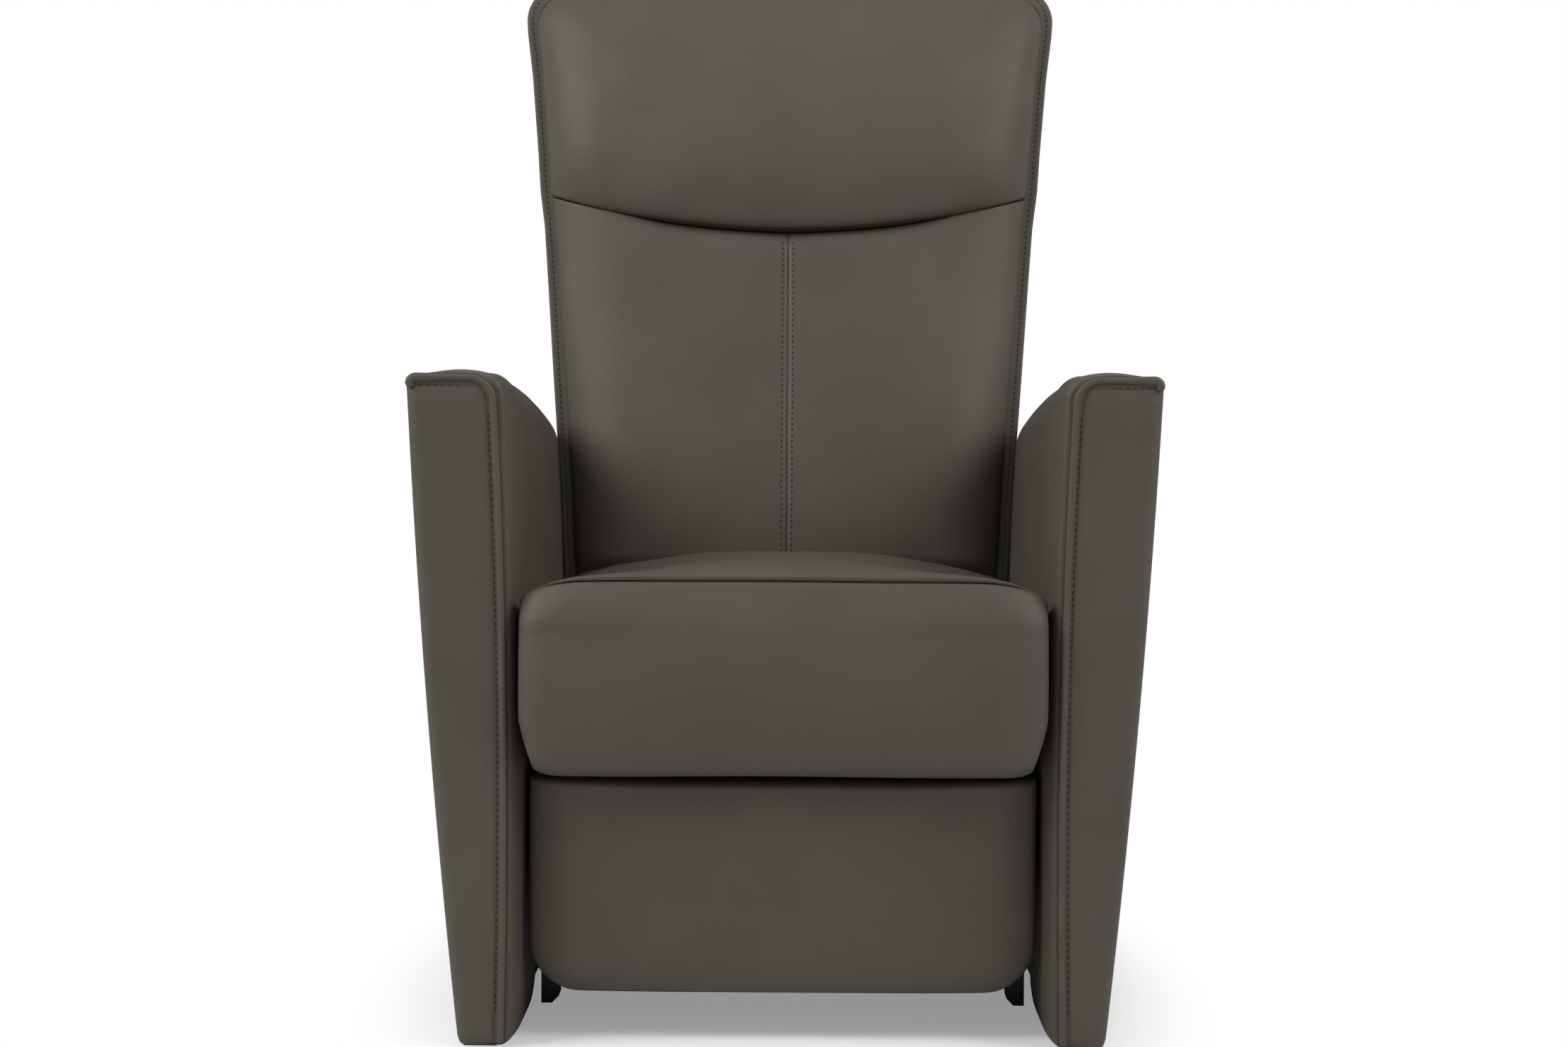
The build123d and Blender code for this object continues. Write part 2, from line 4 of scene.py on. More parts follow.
import bpy
import numpy as np
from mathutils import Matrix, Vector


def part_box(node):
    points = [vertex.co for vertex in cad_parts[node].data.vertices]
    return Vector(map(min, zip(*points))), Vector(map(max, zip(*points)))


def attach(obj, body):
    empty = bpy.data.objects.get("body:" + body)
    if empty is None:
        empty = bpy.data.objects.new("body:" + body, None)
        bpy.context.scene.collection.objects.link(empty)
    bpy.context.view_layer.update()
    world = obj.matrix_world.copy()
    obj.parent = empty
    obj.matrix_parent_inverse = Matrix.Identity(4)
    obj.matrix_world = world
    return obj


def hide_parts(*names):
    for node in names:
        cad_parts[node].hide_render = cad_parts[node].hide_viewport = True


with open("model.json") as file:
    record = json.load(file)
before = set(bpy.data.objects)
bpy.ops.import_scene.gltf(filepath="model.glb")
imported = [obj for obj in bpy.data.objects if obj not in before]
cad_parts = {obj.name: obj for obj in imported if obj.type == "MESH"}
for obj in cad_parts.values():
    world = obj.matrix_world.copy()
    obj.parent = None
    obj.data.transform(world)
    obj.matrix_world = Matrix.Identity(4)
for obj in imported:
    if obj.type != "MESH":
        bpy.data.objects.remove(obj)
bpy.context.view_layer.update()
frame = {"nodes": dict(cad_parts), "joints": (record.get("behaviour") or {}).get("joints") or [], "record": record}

# Places taken from the frame, in metres.
PIVOT = next(j for j in frame["joints"] if j["name"] == "back_recline")["pos_m"]
SEAT_LOW, SEAT_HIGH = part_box("seat_cushion")
ARM_LOW, ARM_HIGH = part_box("arm_pad_right")
FACING_LOW, FACING_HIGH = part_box("arm_front_right")
REST_LOW, REST_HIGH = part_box("footrest_pad")
BOARD_LOW, BOARD_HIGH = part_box("footrest_board")
APRON_LOW, APRON_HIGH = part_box("rear_apron")
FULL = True

# Sewing, in metres.
THREAD_R = 0.00070
STITCH_PITCH = 0.0066
STITCH_LONG = 0.0044
SEAM_SIDES = 6
# One stitch from end to end: place along it, thickness and lift, as shares.
STITCH_FORM = (
    (-0.5, 0.15, -0.9),
    (-0.28, 0.85, 0.0),
    (0.0, 1.0, 0.45),
    (0.28, 0.85, 0.0),
    (0.5, 0.15, -0.9),
)

# Unevenness of the padding: number of waves and their range of waves per metre.
RIPPLE_WAVES = 14
RIPPLE_PITCH = (7.0, 26.0)
RIPPLE_SLOW = 0.35
RIPPLE_SCALE = 1.6


# Small shaping helpers.
def smooth(t):
    """A soft step from 0 to 1."""
    t = np.clip(t, 0.0, 1.0)
    return t * t * (3.0 - 2.0 * t)


def dome(distance, radius):
    """A quarter round: 0 at the edge, 1 from the radius inwards."""
    t = np.clip(distance / radius, 0.0, 1.0)
    return np.sqrt(np.maximum(0.0, 1.0 - (1.0 - t) ** 2))


def plump(distance, radius):
    """A quarter round that rises a little faster."""
    return dome(distance, radius) ** 0.9


def bell(x, width):
    """A soft bump of height 1 round 0."""
    return np.exp(-((x / width) ** 2))


def corner_cut(into, radius):
    """Share of the radius that a rounded corner takes off, 0 where it begins."""
    near = np.clip(into / radius, 0.0, 1.0)
    return 1.0 - np.sqrt(np.maximum(0.0, 1.0 - near**2))


def spread(count):
    """Values from -1 to 1, closer together near the ends."""
    t = np.linspace(-1.0, 1.0, count)
    return 0.55 * t + 0.45 * np.sin(0.5 * math.pi * t)


def spread_up(count):
    """Values from 0 to 1, closer together near the ends."""
    return 0.5 + 0.5 * spread(count)


def gathered(count):
    """Values from -1 to 1, closer together near the ends and in the middle."""
    t = spread(count)
    return np.sign(t) * np.abs(t) ** 1.35


def ripple(a, b, seed):
    """Quiet unevenness of a padded cover, about -1 to 1."""
    draw = np.random.default_rng(seed)
    total = np.zeros(np.broadcast(a, b).shape)
    for _ in range(RIPPLE_WAVES):
        turn = draw.uniform(0.0, math.tau)
        pitch = draw.uniform(*RIPPLE_PITCH)
        phase = draw.uniform(0.0, math.tau)
        along = a * math.cos(turn) + b * math.sin(turn)
        total += np.sin(math.tau * pitch * along * RIPPLE_SLOW + phase)
    return total / math.sqrt(RIPPLE_WAVES) / RIPPLE_SCALE


def arc(a, corner, b, count):
    """Points of a rounded corner from a to b, without b."""
    t = np.linspace(0.0, 1.0, count, endpoint=False)[:, None]
    a, corner, b = map(np.asarray, (a, corner, b))
    leave = (a - corner) * (1 - np.sin(0.5 * math.pi * t))
    arrive = (b - corner) * (1 - np.cos(0.5 * math.pi * t))
    return corner + leave + arrive


def straight(a, b, count, bulge=(0.0, 0.0), gather=1.0):
    """Points of a line from a to b, without b, bulging in the middle."""
    t = np.linspace(0.0, 1.0, count, endpoint=False)[:, None] ** gather
    a, b = np.asarray(a), np.asarray(b)
    return a + (b - a) * t + np.asarray(bulge) * 4.0 * t * (1.0 - t)


def path_frames(path):
    """Points of a path and the unit direction at each of them."""
    path = np.asarray(path, float)
    ahead = np.gradient(path, axis=0)
    ahead /= np.linalg.norm(ahead, axis=1)[:, None]
    return path, ahead


def resample(path, pitch):
    """Points of a path at even distances."""
    path = np.asarray(path, float)
    steps = np.linalg.norm(np.diff(path, axis=0), axis=1)
    along = np.concatenate([[0.0], np.cumsum(steps)])
    count = max(2, int(along[-1] / pitch) + 1)
    want = np.linspace(0.0, along[-1], count)
    return np.stack([np.interp(want, along, column) for column in path.T], axis=1)


# Small mesh helpers.
def new_mesh(name, points, faces, material, body):
    """A smooth piece with its faces outwards, riding on a body."""
    mesh = bpy.data.meshes.new(name)
    mesh.from_pydata([tuple(map(float, p)) for p in points], [], faces)
    mesh.validate()
    mesh.polygons.foreach_set("use_smooth", [True] * len(mesh.polygons))
    piece = bpy.data.objects.new(name, mesh)
    bpy.context.scene.collection.objects.link(piece)
    mesh.materials.append(material)
    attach(piece, body)
    turn_out(piece)
    return piece


def turn_out(piece):
    """Faces of a closed piece point outwards."""
    bpy.context.view_layer.objects.active = piece
    piece.select_set(True)
    bpy.ops.object.mode_set(mode="EDIT")
    bpy.ops.mesh.select_all(action="SELECT")
    bpy.ops.mesh.normals_make_consistent(inside=False)
    bpy.ops.object.mode_set(mode="OBJECT")
    piece.select_set(False)


def grid_faces(rows, columns, closed=False):
    """Faces of a grid of points; a closed one joins its last column to its first."""
    faces = []
    for i in range(rows - 1):
        for j in range(columns if closed else columns - 1):
            here, after = i * columns, (i + 1) * columns
            beside = (j + 1) % columns
            faces.append((here + j, here + beside, after + beside, after + j))
    return faces


def tube_of_rings(rings):
    """Points and faces of a closed form through rings of points, both ends filled."""
    rings = np.asarray(rings)
    count, around, _ = rings.shape
    points = list(rings.reshape(-1, 3))
    faces = grid_faces(count, around, closed=True)
    for ring, first in ((0, True), (count - 1, False)):
        middle = len(points)
        points.append(rings[ring].mean(axis=0))
        base = ring * around
        for j in range(around):
            a, b = base + j, base + (j + 1) % around
            faces.append((b, a, middle) if first else (a, b, middle))
    return points, faces


def envelope(front, rear):
    """Points and faces of a pillow made of two sheets that share their edge."""
    rows, columns, _ = front.shape
    points = list(front.reshape(-1, 3))
    faces = grid_faces(rows, columns)
    index = np.arange(rows * columns).reshape(rows, columns)
    for i in range(1, rows - 1):
        for j in range(1, columns - 1):
            index[i, j] = len(points)
            points.append(rear[i, j])
    for i in range(rows - 1):
        for j in range(columns - 1):
            here, after = index[i], index[i + 1]
            faces.append((here[j], after[j], after[j + 1], here[j + 1]))
    return points, faces


def add_tube(name, rings, material, body):
    return new_mesh(name, *tube_of_rings(rings), material, body)


def add_pillow(name, front, rear, body):
    return new_mesh(name, *envelope(front, rear), LEATHER, body)


def sheet_points(x, y, z):
    """A grid of points from three values that spread over each other."""
    return np.stack(np.broadcast_arrays(x, y, z), axis=-1)


def placed_points(piece, shape):
    """The first points of a piece as they lie now, as a grid."""
    points = np.array([point.co for point in piece.data.vertices])
    return points[: shape[0] * shape[1]].reshape(shape)


def cord_rings(path, radius, sides, flat=(0.0, 1.0, 0.0)):
    """Rings of a round cord along a path."""
    path, ahead = path_frames(path)
    side = np.cross(ahead, np.asarray(flat))
    side /= np.linalg.norm(side, axis=1)[:, None]
    up = np.cross(side, ahead)
    turn = np.linspace(0.0, math.tau, sides, endpoint=False)
    around = side[:, None, :] * np.cos(turn)[None, :, None]
    around = around + up[:, None, :] * np.sin(turn)[None, :, None]
    radius = np.broadcast_to(np.asarray(radius, float), (len(path),))
    return path[:, None, :] + around * radius[:, None, None]


def stitch_row(name, path, normal, body):
    """A row of short sewn threads along a path, half sunk in the leather."""
    spots, ahead = path_frames(resample(path, STITCH_PITCH))
    normal = np.asarray(normal, float)
    swell = THREAD_R * np.array([thick for _, thick, _ in STITCH_FORM])
    points, faces = [], []
    for spot, way in zip(spots[1:-1], ahead[1:-1]):
        line = [
            spot + way * STITCH_LONG * share + normal * THREAD_R * lift
            for share, _, lift in STITCH_FORM
        ]
        rings = cord_rings(line, swell, SEAM_SIDES, normal)
        more, more_faces = tube_of_rings(rings)
        faces += [tuple(i + len(points) for i in face) for face in more_faces]
        points += more
    # The stitches take the dark thread colour, which is painted shade.
    new_mesh(name, points, faces, THREAD_PAINTED_SHADE, body)


# Materials.
def node_material(name):
    material = bpy.data.materials.new(name)
    material.use_nodes = True
    tree = material.node_tree
    return material, tree.nodes, tree.links, tree.nodes["Principled BSDF"]


def set_inputs(node, values):
    for name, value in values.items():
        node.inputs[name].default_value = value


def add_node(nodes, kind, values=None):
    node = nodes.new("ShaderNode" + kind)
    set_inputs(node, values or {})
    return node


def tone_ramp(nodes, dark, pale, start=0.0, end=1.0):
    """A ramp between two colours."""
    ramp = nodes.new("ShaderNodeValToRGB")
    first, last = ramp.color_ramp.elements
    first.position, first.color = start, (*dark, 1.0)
    last.position, last.color = end, (*pale, 1.0)
    return ramp


def leather_material():
    """Taupe leather: quiet clouds of tone and a fine grain."""
    material, nodes, links, shader = node_material("leather_taupe")
    set_inputs(shader, {"Roughness": 0.55, "Specular IOR Level": 0.26})
    place = add_node(nodes, "TexCoord")
    cloud = add_node(nodes, "TexNoise", {"Scale": 9.0, "Detail": 4.0})
    dark, pale = (0.0620, 0.0533, 0.0408), (0.0715, 0.0617, 0.0475)
    tone = tone_ramp(nodes, dark, pale, 0.3, 0.7)
    grain = nodes.new("ShaderNodeTexVoronoi")
    grain.feature = "SMOOTH_F1"
    set_inputs(grain, {"Scale": 620.0})
    pores = add_node(nodes, "TexNoise", {"Scale": 240.0, "Detail": 5.0})
    mix = nodes.new("ShaderNodeMath")
    mix.operation = "ADD"
    bump = add_node(nodes, "Bump", {"Strength": 0.22, "Distance": 0.0006})
    for texture in (cloud, grain, pores):
        links.new(place.outputs["Object"], texture.inputs["Vector"])
    links.new(cloud.outputs["Fac"], tone.inputs["Fac"])
    links.new(tone.outputs["Color"], shader.inputs["Base Color"])
    links.new(grain.outputs["Distance"], mix.inputs[0])
    links.new(pores.outputs["Fac"], mix.inputs[1])
    links.new(mix.outputs["Value"], bump.inputs["Height"])
    links.new(bump.outputs["Normal"], shader.inputs["Normal"])
    return material


def plain_material(name, colour, roughness, metallic=0.0):
    material, _, _, shader = node_material(name)
    colour = (*colour, 1.0)
    set_inputs(shader, {"Base Color": colour, "Roughness": roughness, "Metallic": metallic})
    return material


def wood_material():
    """Beech with streaks along its length."""
    material, nodes, links, shader = node_material("beech")
    set_inputs(shader, {"Roughness": 0.6})
    place = add_node(nodes, "TexCoord")
    stretch = add_node(nodes, "Mapping", {"Scale": (30.0, 3.0, 30.0)})
    streak = add_node(nodes, "TexNoise", {"Scale": 3.0, "Detail": 6.0})
    tone = tone_ramp(nodes, (0.30, 0.18, 0.09), (0.47, 0.31, 0.17))
    links.new(place.outputs["Object"], stretch.inputs["Vector"])
    links.new(stretch.outputs["Vector"], streak.inputs["Vector"])
    links.new(streak.outputs["Fac"], tone.inputs["Fac"])
    links.new(tone.outputs["Color"], shader.inputs["Base Color"])
    return material


LEATHER = leather_material()
# Thread colour, much darker than the leather: painted shade of stitch holes and seam lines, used on the stitches
# and the dark seam cords.
THREAD_PAINTED_SHADE = plain_material("thread_painted_shade", (0.020, 0.017, 0.013), 0.75)
FINISHES = {
    "leather": LEATHER,
    "black_steel": plain_material("black_paint", (0.006, 0.006, 0.006), 0.38),
    "bright_steel": plain_material("ground_steel", (0.55, 0.55, 0.56), 0.3, 1.0),
    "timber": wood_material(),
    "webbing": plain_material("elastic_belt", (0.02, 0.02, 0.02), 0.85),
    "band_rubber": plain_material("rubber", (0.012, 0.012, 0.012), 0.7),
    "glide_plastic": plain_material("glide", (0.012, 0.012, 0.012), 0.5),
}
for row in frame["record"]["subparts"]:
    node = frame["nodes"][row["node"]]
    node.data.materials.clear()
    node.data.materials.append(FINISHES[row["material_slot"]])

# Cloth of the covers.
CLOTH_FRAMES = 16
CLOTH_SETTINGS = {
    "quality": 5,
    "mass": 0.35,
    "tension_stiffness": 18.0,
    "compression_stiffness": 18.0,
    "shear_stiffness": 9.0,
    "bending_stiffness": 9.0,
    "air_damping": 2.0,
    "use_pressure": True,
}
SETTLE_ROUNDS = 24
SETTLE_SHARE = 0.7


def inflate(piece, hold, cap, pressure=4.0):
    """The cover swells under its filling while its seams stay put.

    hold is 1 at the sewn points of the front sheet and 0 at the free ones, and
    no point moves further than about cap.
    """
    if not FULL:
        return
    scene = bpy.context.scene
    rest = np.array([v.co for v in piece.data.vertices])
    pinned = np.ones(len(rest))
    pinned[: hold.size] = np.clip(hold, 0.0, 1.0).ravel()
    group = piece.vertex_groups.new(name="seams")
    for level in np.unique(np.round(pinned, 2)):
        if level > 0.0:
            chosen = np.nonzero(np.round(pinned, 2) == level)[0].tolist()
            group.add(chosen, float(level), "REPLACE")
    cloth = piece.modifiers.new("cover", "CLOTH")
    for name, value in CLOTH_SETTINGS.items():
        setattr(cloth.settings, name, value)
    cloth.settings.uniform_pressure_force = pressure
    cloth.settings.vertex_group_mass = "seams"
    cloth.settings.effector_weights.gravity = 0.0
    cloth.point_cache.frame_start = 1
    cloth.point_cache.frame_end = CLOTH_FRAMES
    for number in range(1, CLOTH_FRAMES + 1):
        scene.frame_set(number)
    moved_piece = piece.evaluated_get(bpy.context.evaluated_depsgraph_get())
    moved = np.array([v.co for v in moved_piece.data.vertices])
    piece.modifiers.remove(cloth)
    piece.vertex_groups.remove(group)
    scene.frame_set(1)
    step = moved - rest
    length = np.linalg.norm(step, axis=1)
    allowed = cap * np.tanh(length / cap)
    step *= (allowed / np.maximum(length, 1e-9))[:, None]
    step = settled(piece.data, step, pinned)
    piece.data.vertices.foreach_set("co", (rest + step).ravel())
    piece.data.update()


def settled(mesh, step, pinned):
    """Moves of a cover with its small puckers pulled taut; sewn points stay."""
    ends = np.array([edge.vertices for edge in mesh.edges])
    count = len(step)
    both = np.concatenate([ends, ends[:, ::-1]])
    degree = np.maximum(np.bincount(both[:, 0], minlength=count), 1)[:, None]
    loose = (pinned < 0.5)[:, None]
    for _ in range(SETTLE_ROUNDS):
        sums = [np.bincount(both[:, 0], step[both[:, 1], k], count) for k in range(3)]
        near = np.stack(sums, axis=1) / degree
        eased = (1.0 - SETTLE_SHARE) * step + SETTLE_SHARE * near
        step = np.where(loose, eased, step)
    return step


def finer(piece):
    """One subdivision."""
    cut = piece.modifiers.new("finer", "SUBSURF")
    cut.levels = 1
    cut.render_levels = 1


# Back, drawn about its pivot: x across, n forwards from the frame, s up the rake.
RAKE = math.radians(13.0)
LEAN_OUT = np.array([0.0, -math.cos(RAKE), math.sin(RAKE)])
BACK_BOTTOM, BACK_TOP = 0.030, 0.758
BACK_CORNER = 0.048
NO_CORNER = 9.0
# Half width of the back at heights up the rake.
OUTLINE_S = (0.030, 0.100, 0.150, 0.219, 0.364, 0.468, 0.512, 0.560, 0.653, 0.707, 0.760)
OUTLINE_HALF = (
    0.2530,
    0.2584,
    0.2610,
    0.2670,
    0.2790,
    0.2875,
    0.2935,
    0.2972,
    0.3058,
    0.3128,
    0.3168,
)

# Covers of the back: where their edge and their rear sheet lie, and their unevenness.
COVER_EDGE = 0.006
COVER_REAR = 0.0045
COVER_RIPPLE = 0.0007
RIPPLE_FADE = 0.06
SEW_SIDE, SEW_SMILE, SEW_FOOT, SEW_TOP = 0.016, 0.012, 0.014, 0.020
COVER_CAP = 0.010

# Smile-shaped seam below the headrest.
SMILE_MID = 0.4495
SMILE_RISE = 0.0455
SMILE_HALF = 0.28
SMILE_END = 0.279
SMILE_TURN_UP = 0.0120
CREASE_END, CREASE_FADE = 0.212, 0.080
CREASE_OVERLAP, CREASE_OPEN = 0.0004, 0.0010
DIP_ENDS, DIP_MID = 0.05, 0.14
DIP_R_ENDS, DIP_R_MID = 0.012, 0.017
# Share of each cover's height that its row beside the seam takes.
LOW_SEAM_ROW, HEAD_SEAM_ROW = 0.0016, 0.0026

# Lower back: crown with a fuller lumbar part and a hollow above, falling to the sides.
LOW_CROWN, LOW_ROUND = 0.058, 0.075
LUMBAR_S, LUMBAR_OUT = 0.17, 0.009
HOLLOW_S, HOLLOW_IN = 0.40, 0.010
BULGE_WIDE = 0.16
LOW_FALL, LOW_FALL_HALF = 0.010, 0.25
LOW_FOOT_R = 0.035
SEAM_FADE = 0.05
GROOVE_DEEP, GROOVE_WIDE = 0.0029, 0.0027
VALLEY_DEEP, VALLEY_WIDE = 0.0016, 0.030
GROOVE_HOLD, GROOVE_HOLD_WIDE = 0.97, 0.007
CENTRE_STITCH = 0.0057
CENTRE_STITCH_OUT = 0.0002
CENTRE_ROWS = slice(6, -4)
# Dark cord down the centre seam: painted shade of the seam line.
CENTRE_SHADE_CORD_R, CENTRE_SHADE_CORD_OUT, CENTRE_SHADE_CORD_PITCH = 0.0007, 0.0003, 0.006

# Headrest: crown, overhang over the seam and roundings.
HEAD_CROWN, HEAD_OUT, HEAD_FALL = 0.064, 0.012, 0.012
HEAD_S, HEAD_WIDE = 0.57, 0.12
HEAD_ROUND, HEAD_TOP_ROUND = 0.070, 0.085
HEAD_OVERHANG, HEAD_OVER_LIMIT = 0.012, 0.004
HEAD_RISE, HEAD_RISE_LESS = 0.070, 0.010
HEAD_FIRST_GUESS = 0.02

# Flange round the edge of the back; it stands further forward between the arms.
FLANGE_WIDE = 0.0115
FLANGE_START = 0.036
FLANGE_OUT = 0.0028
FLANGE_PITCH = 0.004
FLANGE_LIFT, FLANGE_LIFT_END, FLANGE_LIFT_FADE = 0.008, 0.26, 0.16
FLANGE_STITCH_IN, FLANGE_STITCH_OUT = 0.0066, 0.0045
# Half of its section: distance inwards from the edge and half thickness.
FLANGE_SECTION = (
    (0.0, 0.0008),
    (0.0006, 0.0022),
    (0.0024, 0.0028),
    (0.0070, 0.0016),
    (0.0125, 0.0022),
    (0.0190, 0.0030),
)

# Rear cover: depth, roundings and a raised seam beside its edge.
REAR_LOW = 0.046
REAR_GROW = 0.002
REAR_DEEP = 0.058
REAR_SIDE_R, REAR_TOP_R, REAR_LOW_R = 0.036, 0.040, 0.030
REAR_BELLY, REAR_BELLY_S, REAR_BELLY_WIDE = 0.004, 0.42, 0.30
REAR_SEAM_IN, REAR_SEAM_FADE = 0.062, 0.06
REAR_SEAM_HIGH, REAR_SEAM_WIDE = 0.0030, 0.0030
REAR_RIPPLE = 0.0005


def lean(x, n, s):
    x, n, s = np.broadcast_arrays(x, n, s)
    y = PIVOT[1] + s * math.sin(RAKE) - n * math.cos(RAKE)
    z = PIVOT[2] + s * math.cos(RAKE) + n * math.sin(RAKE)
    return np.stack([x, y, z], axis=-1)


def back_half(s, top):
    """Half width of the back at a height, with upper corners rounded below top."""
    half = np.interp(s, OUTLINE_S, OUTLINE_HALF)
    return half - BACK_CORNER * corner_cut(s - (top - BACK_CORNER), BACK_CORNER)


def cover_half(s, top):
    """Half width of the covers, inside the flange."""
    return back_half(s, top) - FLANGE_WIDE


def smile(x):
    """Height of the seam below the headrest; it runs up where the covers thin out."""
    thin = 1.0 - plump(SMILE_END - np.abs(x), LOW_ROUND)
    return SMILE_MID + SMILE_RISE * (x / SMILE_HALF) ** 2 + SMILE_TURN_UP * thin


def creased(x):
    """1 where the headrest overhangs the seam, 0 where both covers lie flush."""
    return smooth((CREASE_END - np.abs(x)) / CREASE_FADE)


def low_height(x, s, side):
    """Height of the lower back cover over the frame, before it dips at the seam."""
    lumbar = LUMBAR_OUT * bell(s - LUMBAR_S, BULGE_WIDE)
    hollow = HOLLOW_IN * bell(s - HOLLOW_S, BULGE_WIDE)
    crown = LOW_CROWN + lumbar - hollow - LOW_FALL * (x / LOW_FALL_HALF) ** 2
    return crown * plump(side, LOW_ROUND)


def seam_height(x):
    """Height of the lower back cover at the smile seam."""
    s = smile(x)
    side = cover_half(s, NO_CORNER) - np.abs(x)
    left = 1.0 - DIP_ENDS - DIP_MID * creased(x)
    return COVER_EDGE + low_height(x, s, side) * left


def lower_back():
    """Lower back cover; returns the points of its front sheet."""
    rows, columns = 97, 105
    u = gathered(columns)[None, :]
    v = np.append(spread_up(rows - 1), 1.0)[:, None]
    v[-2] = 1.0 - LOW_SEAM_ROW
    x = u * cover_half(BACK_BOTTOM + v * (SMILE_MID - BACK_BOTTOM), NO_CORNER)
    top = smile(x) + CREASE_OVERLAP - CREASE_OPEN * creased(x)
    s = BACK_BOTTOM + v * (top - BACK_BOTTOM)
    half = cover_half(s, NO_CORNER)
    x = u * half
    side = half - np.abs(x)
    foot = dome(s - BACK_BOTTOM, LOW_FOOT_R)
    below = smile(x) - s
    dip = (DIP_ENDS + DIP_MID * creased(x)) * (
        1.0 - dome(below, DIP_R_ENDS + DIP_R_MID * creased(x))
    )
    n = COVER_EDGE + low_height(x, s, side) * foot * (1.0 - dip)
    groove = GROOVE_DEEP * bell(x, GROOVE_WIDE) * smooth(side / SEAM_FADE) * foot
    n = n - groove - VALLEY_DEEP * bell(x, VALLEY_WIDE) * foot
    n = n + COVER_RIPPLE * ripple(x, s, 11) * dome(side, RIPPLE_FADE) * foot
    front = lean(x, n, s)
    piece = add_pillow("back_lower", front, lean(x, COVER_REAR, s), "back")
    hold = smooth(1.0 - side / SEW_SIDE) + smooth(1.0 - below / SEW_SMILE)
    hold = hold + smooth(1.0 - (s - BACK_BOTTOM) / SEW_FOOT)
    hold = hold + GROOVE_HOLD * bell(x, GROOVE_HOLD_WIDE)
    inflate(piece, hold, COVER_CAP)
    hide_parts("back_cushion")
    finer(piece)
    return placed_points(piece, front.shape)


def headrest():
    rows, columns = 79, 113
    u = spread(columns)[None, :]
    v = np.insert(spread_up(rows - 1), 0, 0.0)[:, None]
    v[1] = HEAD_SEAM_ROW
    low = SMILE_MID + HEAD_FIRST_GUESS
    s = low + v * (BACK_TOP - low)
    # The seam's height depends on x and the width on the height: three rounds settle both.
    for _ in range(3):
        x = u * cover_half(s, BACK_TOP)
        low = smile(x) - CREASE_OVERLAP + CREASE_OPEN * creased(x)
        s = low + v * (BACK_TOP - low)
    side = cover_half(s, BACK_TOP) - np.abs(x)
    over = creased(x)
    above = s - smile(x)
    crown = HEAD_CROWN + HEAD_OUT * bell(s - HEAD_S, HEAD_WIDE)
    crown = crown - HEAD_FALL * (x / SMILE_HALF) ** 2
    full = COVER_EDGE + crown * plump(side, HEAD_ROUND) * dome(BACK_TOP - s, HEAD_TOP_ROUND)
    start = seam_height(x) + HEAD_OVERHANG * over * smooth(side / SEAM_FADE)
    rise = dome(above, HEAD_RISE - HEAD_RISE_LESS * over)
    n = np.minimum(start + (full - start) * rise, full + HEAD_OVER_LIMIT)
    n = n + COVER_RIPPLE * ripple(x, s, 12) * dome(side, RIPPLE_FADE) * rise
    piece = add_pillow("headrest", lean(x, n, s), lean(x, COVER_REAR, s), "back")
    hold = smooth(1.0 - side / SEW_SIDE) + smooth(1.0 - above / SEW_SMILE)
    hold = hold + smooth(1.0 - (BACK_TOP - s) / SEW_TOP)
    inflate(piece, hold, COVER_CAP)
    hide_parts("headrest_cushion")
    finer(piece)


def edge_path():
    """The outline of the back from the lower left round the top to the lower right."""
    top = BACK_TOP + FLANGE_WIDE
    upper = 60
    s = np.linspace(FLANGE_START, BACK_TOP, 220)
    s = np.concatenate([s[:-upper], np.linspace(s[-upper], top, 160)])
    half = back_half(s, top)
    right = np.stack([half, s], axis=1)
    left = np.stack([-half, s], axis=1)
    across = np.linspace(-half[-1], half[-1], 60)[1:-1]
    over = np.stack([across, np.full(across.shape, top)], axis=1)
    return np.concatenate([left, over, right[::-1]])


def flange():
    outer, ahead = path_frames(resample(edge_path(), FLANGE_PITCH))
    inward = np.stack([ahead[:, 1], -ahead[:, 0]], axis=1)
    lift = (outer[:, 1] - FLANGE_LIFT_END) / FLANGE_LIFT_FADE
    lift = FLANGE_LIFT * (1.0 - smooth(lift))
    section = [(d, h, 1.0) for d, h in FLANGE_SECTION]
    section += [(d, -h, 0.0) for d, h in reversed(FLANGE_SECTION)]
    rings = []
    for spot, way, up in zip(outer, inward, lift):
        ring = []
        for d, h, lifted in section:
            x, s = spot + way * d
            ring.append(lean(x, FLANGE_OUT + h + up * lifted, s))
        rings.append(ring)
    add_tube("back_flange", rings, LEATHER, "back")
    line = outer + inward * FLANGE_STITCH_IN
    path = lean(line[:, 0], FLANGE_STITCH_OUT + lift, line[:, 1])
    stitch_row("back_flange_stitches", path, LEAN_OUT, "back")


def rear_cover():
    rows, columns = 84, 84
    u = spread(columns)[None, :]
    v = spread_up(rows)[:, None]
    s = REAR_LOW + v * (BACK_TOP - REAR_LOW)
    half = cover_half(s, BACK_TOP) + REAR_GROW
    x = u * half
    side = half - np.abs(x)
    fill = dome(side, REAR_SIDE_R) * dome(BACK_TOP - s, REAR_TOP_R)
    fill = fill * dome(s - REAR_LOW, REAR_LOW_R)
    belly = REAR_BELLY * bell(s - REAR_BELLY_S, REAR_BELLY_WIDE)
    ridge = REAR_SEAM_HIGH * bell(side - REAR_SEAM_IN, REAR_SEAM_WIDE)
    n = -REAR_DEEP * fill - belly * fill
    n = n + ridge * smooth((s - REAR_LOW) / REAR_SEAM_FADE)
    n = n + REAR_RIPPLE * ripple(x, s, 13) * fill
    front, rear = lean(x, n, s)[:, ::-1], lean(x, 0.0, s)[:, ::-1]
    piece = add_pillow("back_rear", front, rear, "back")
    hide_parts("back_shell")


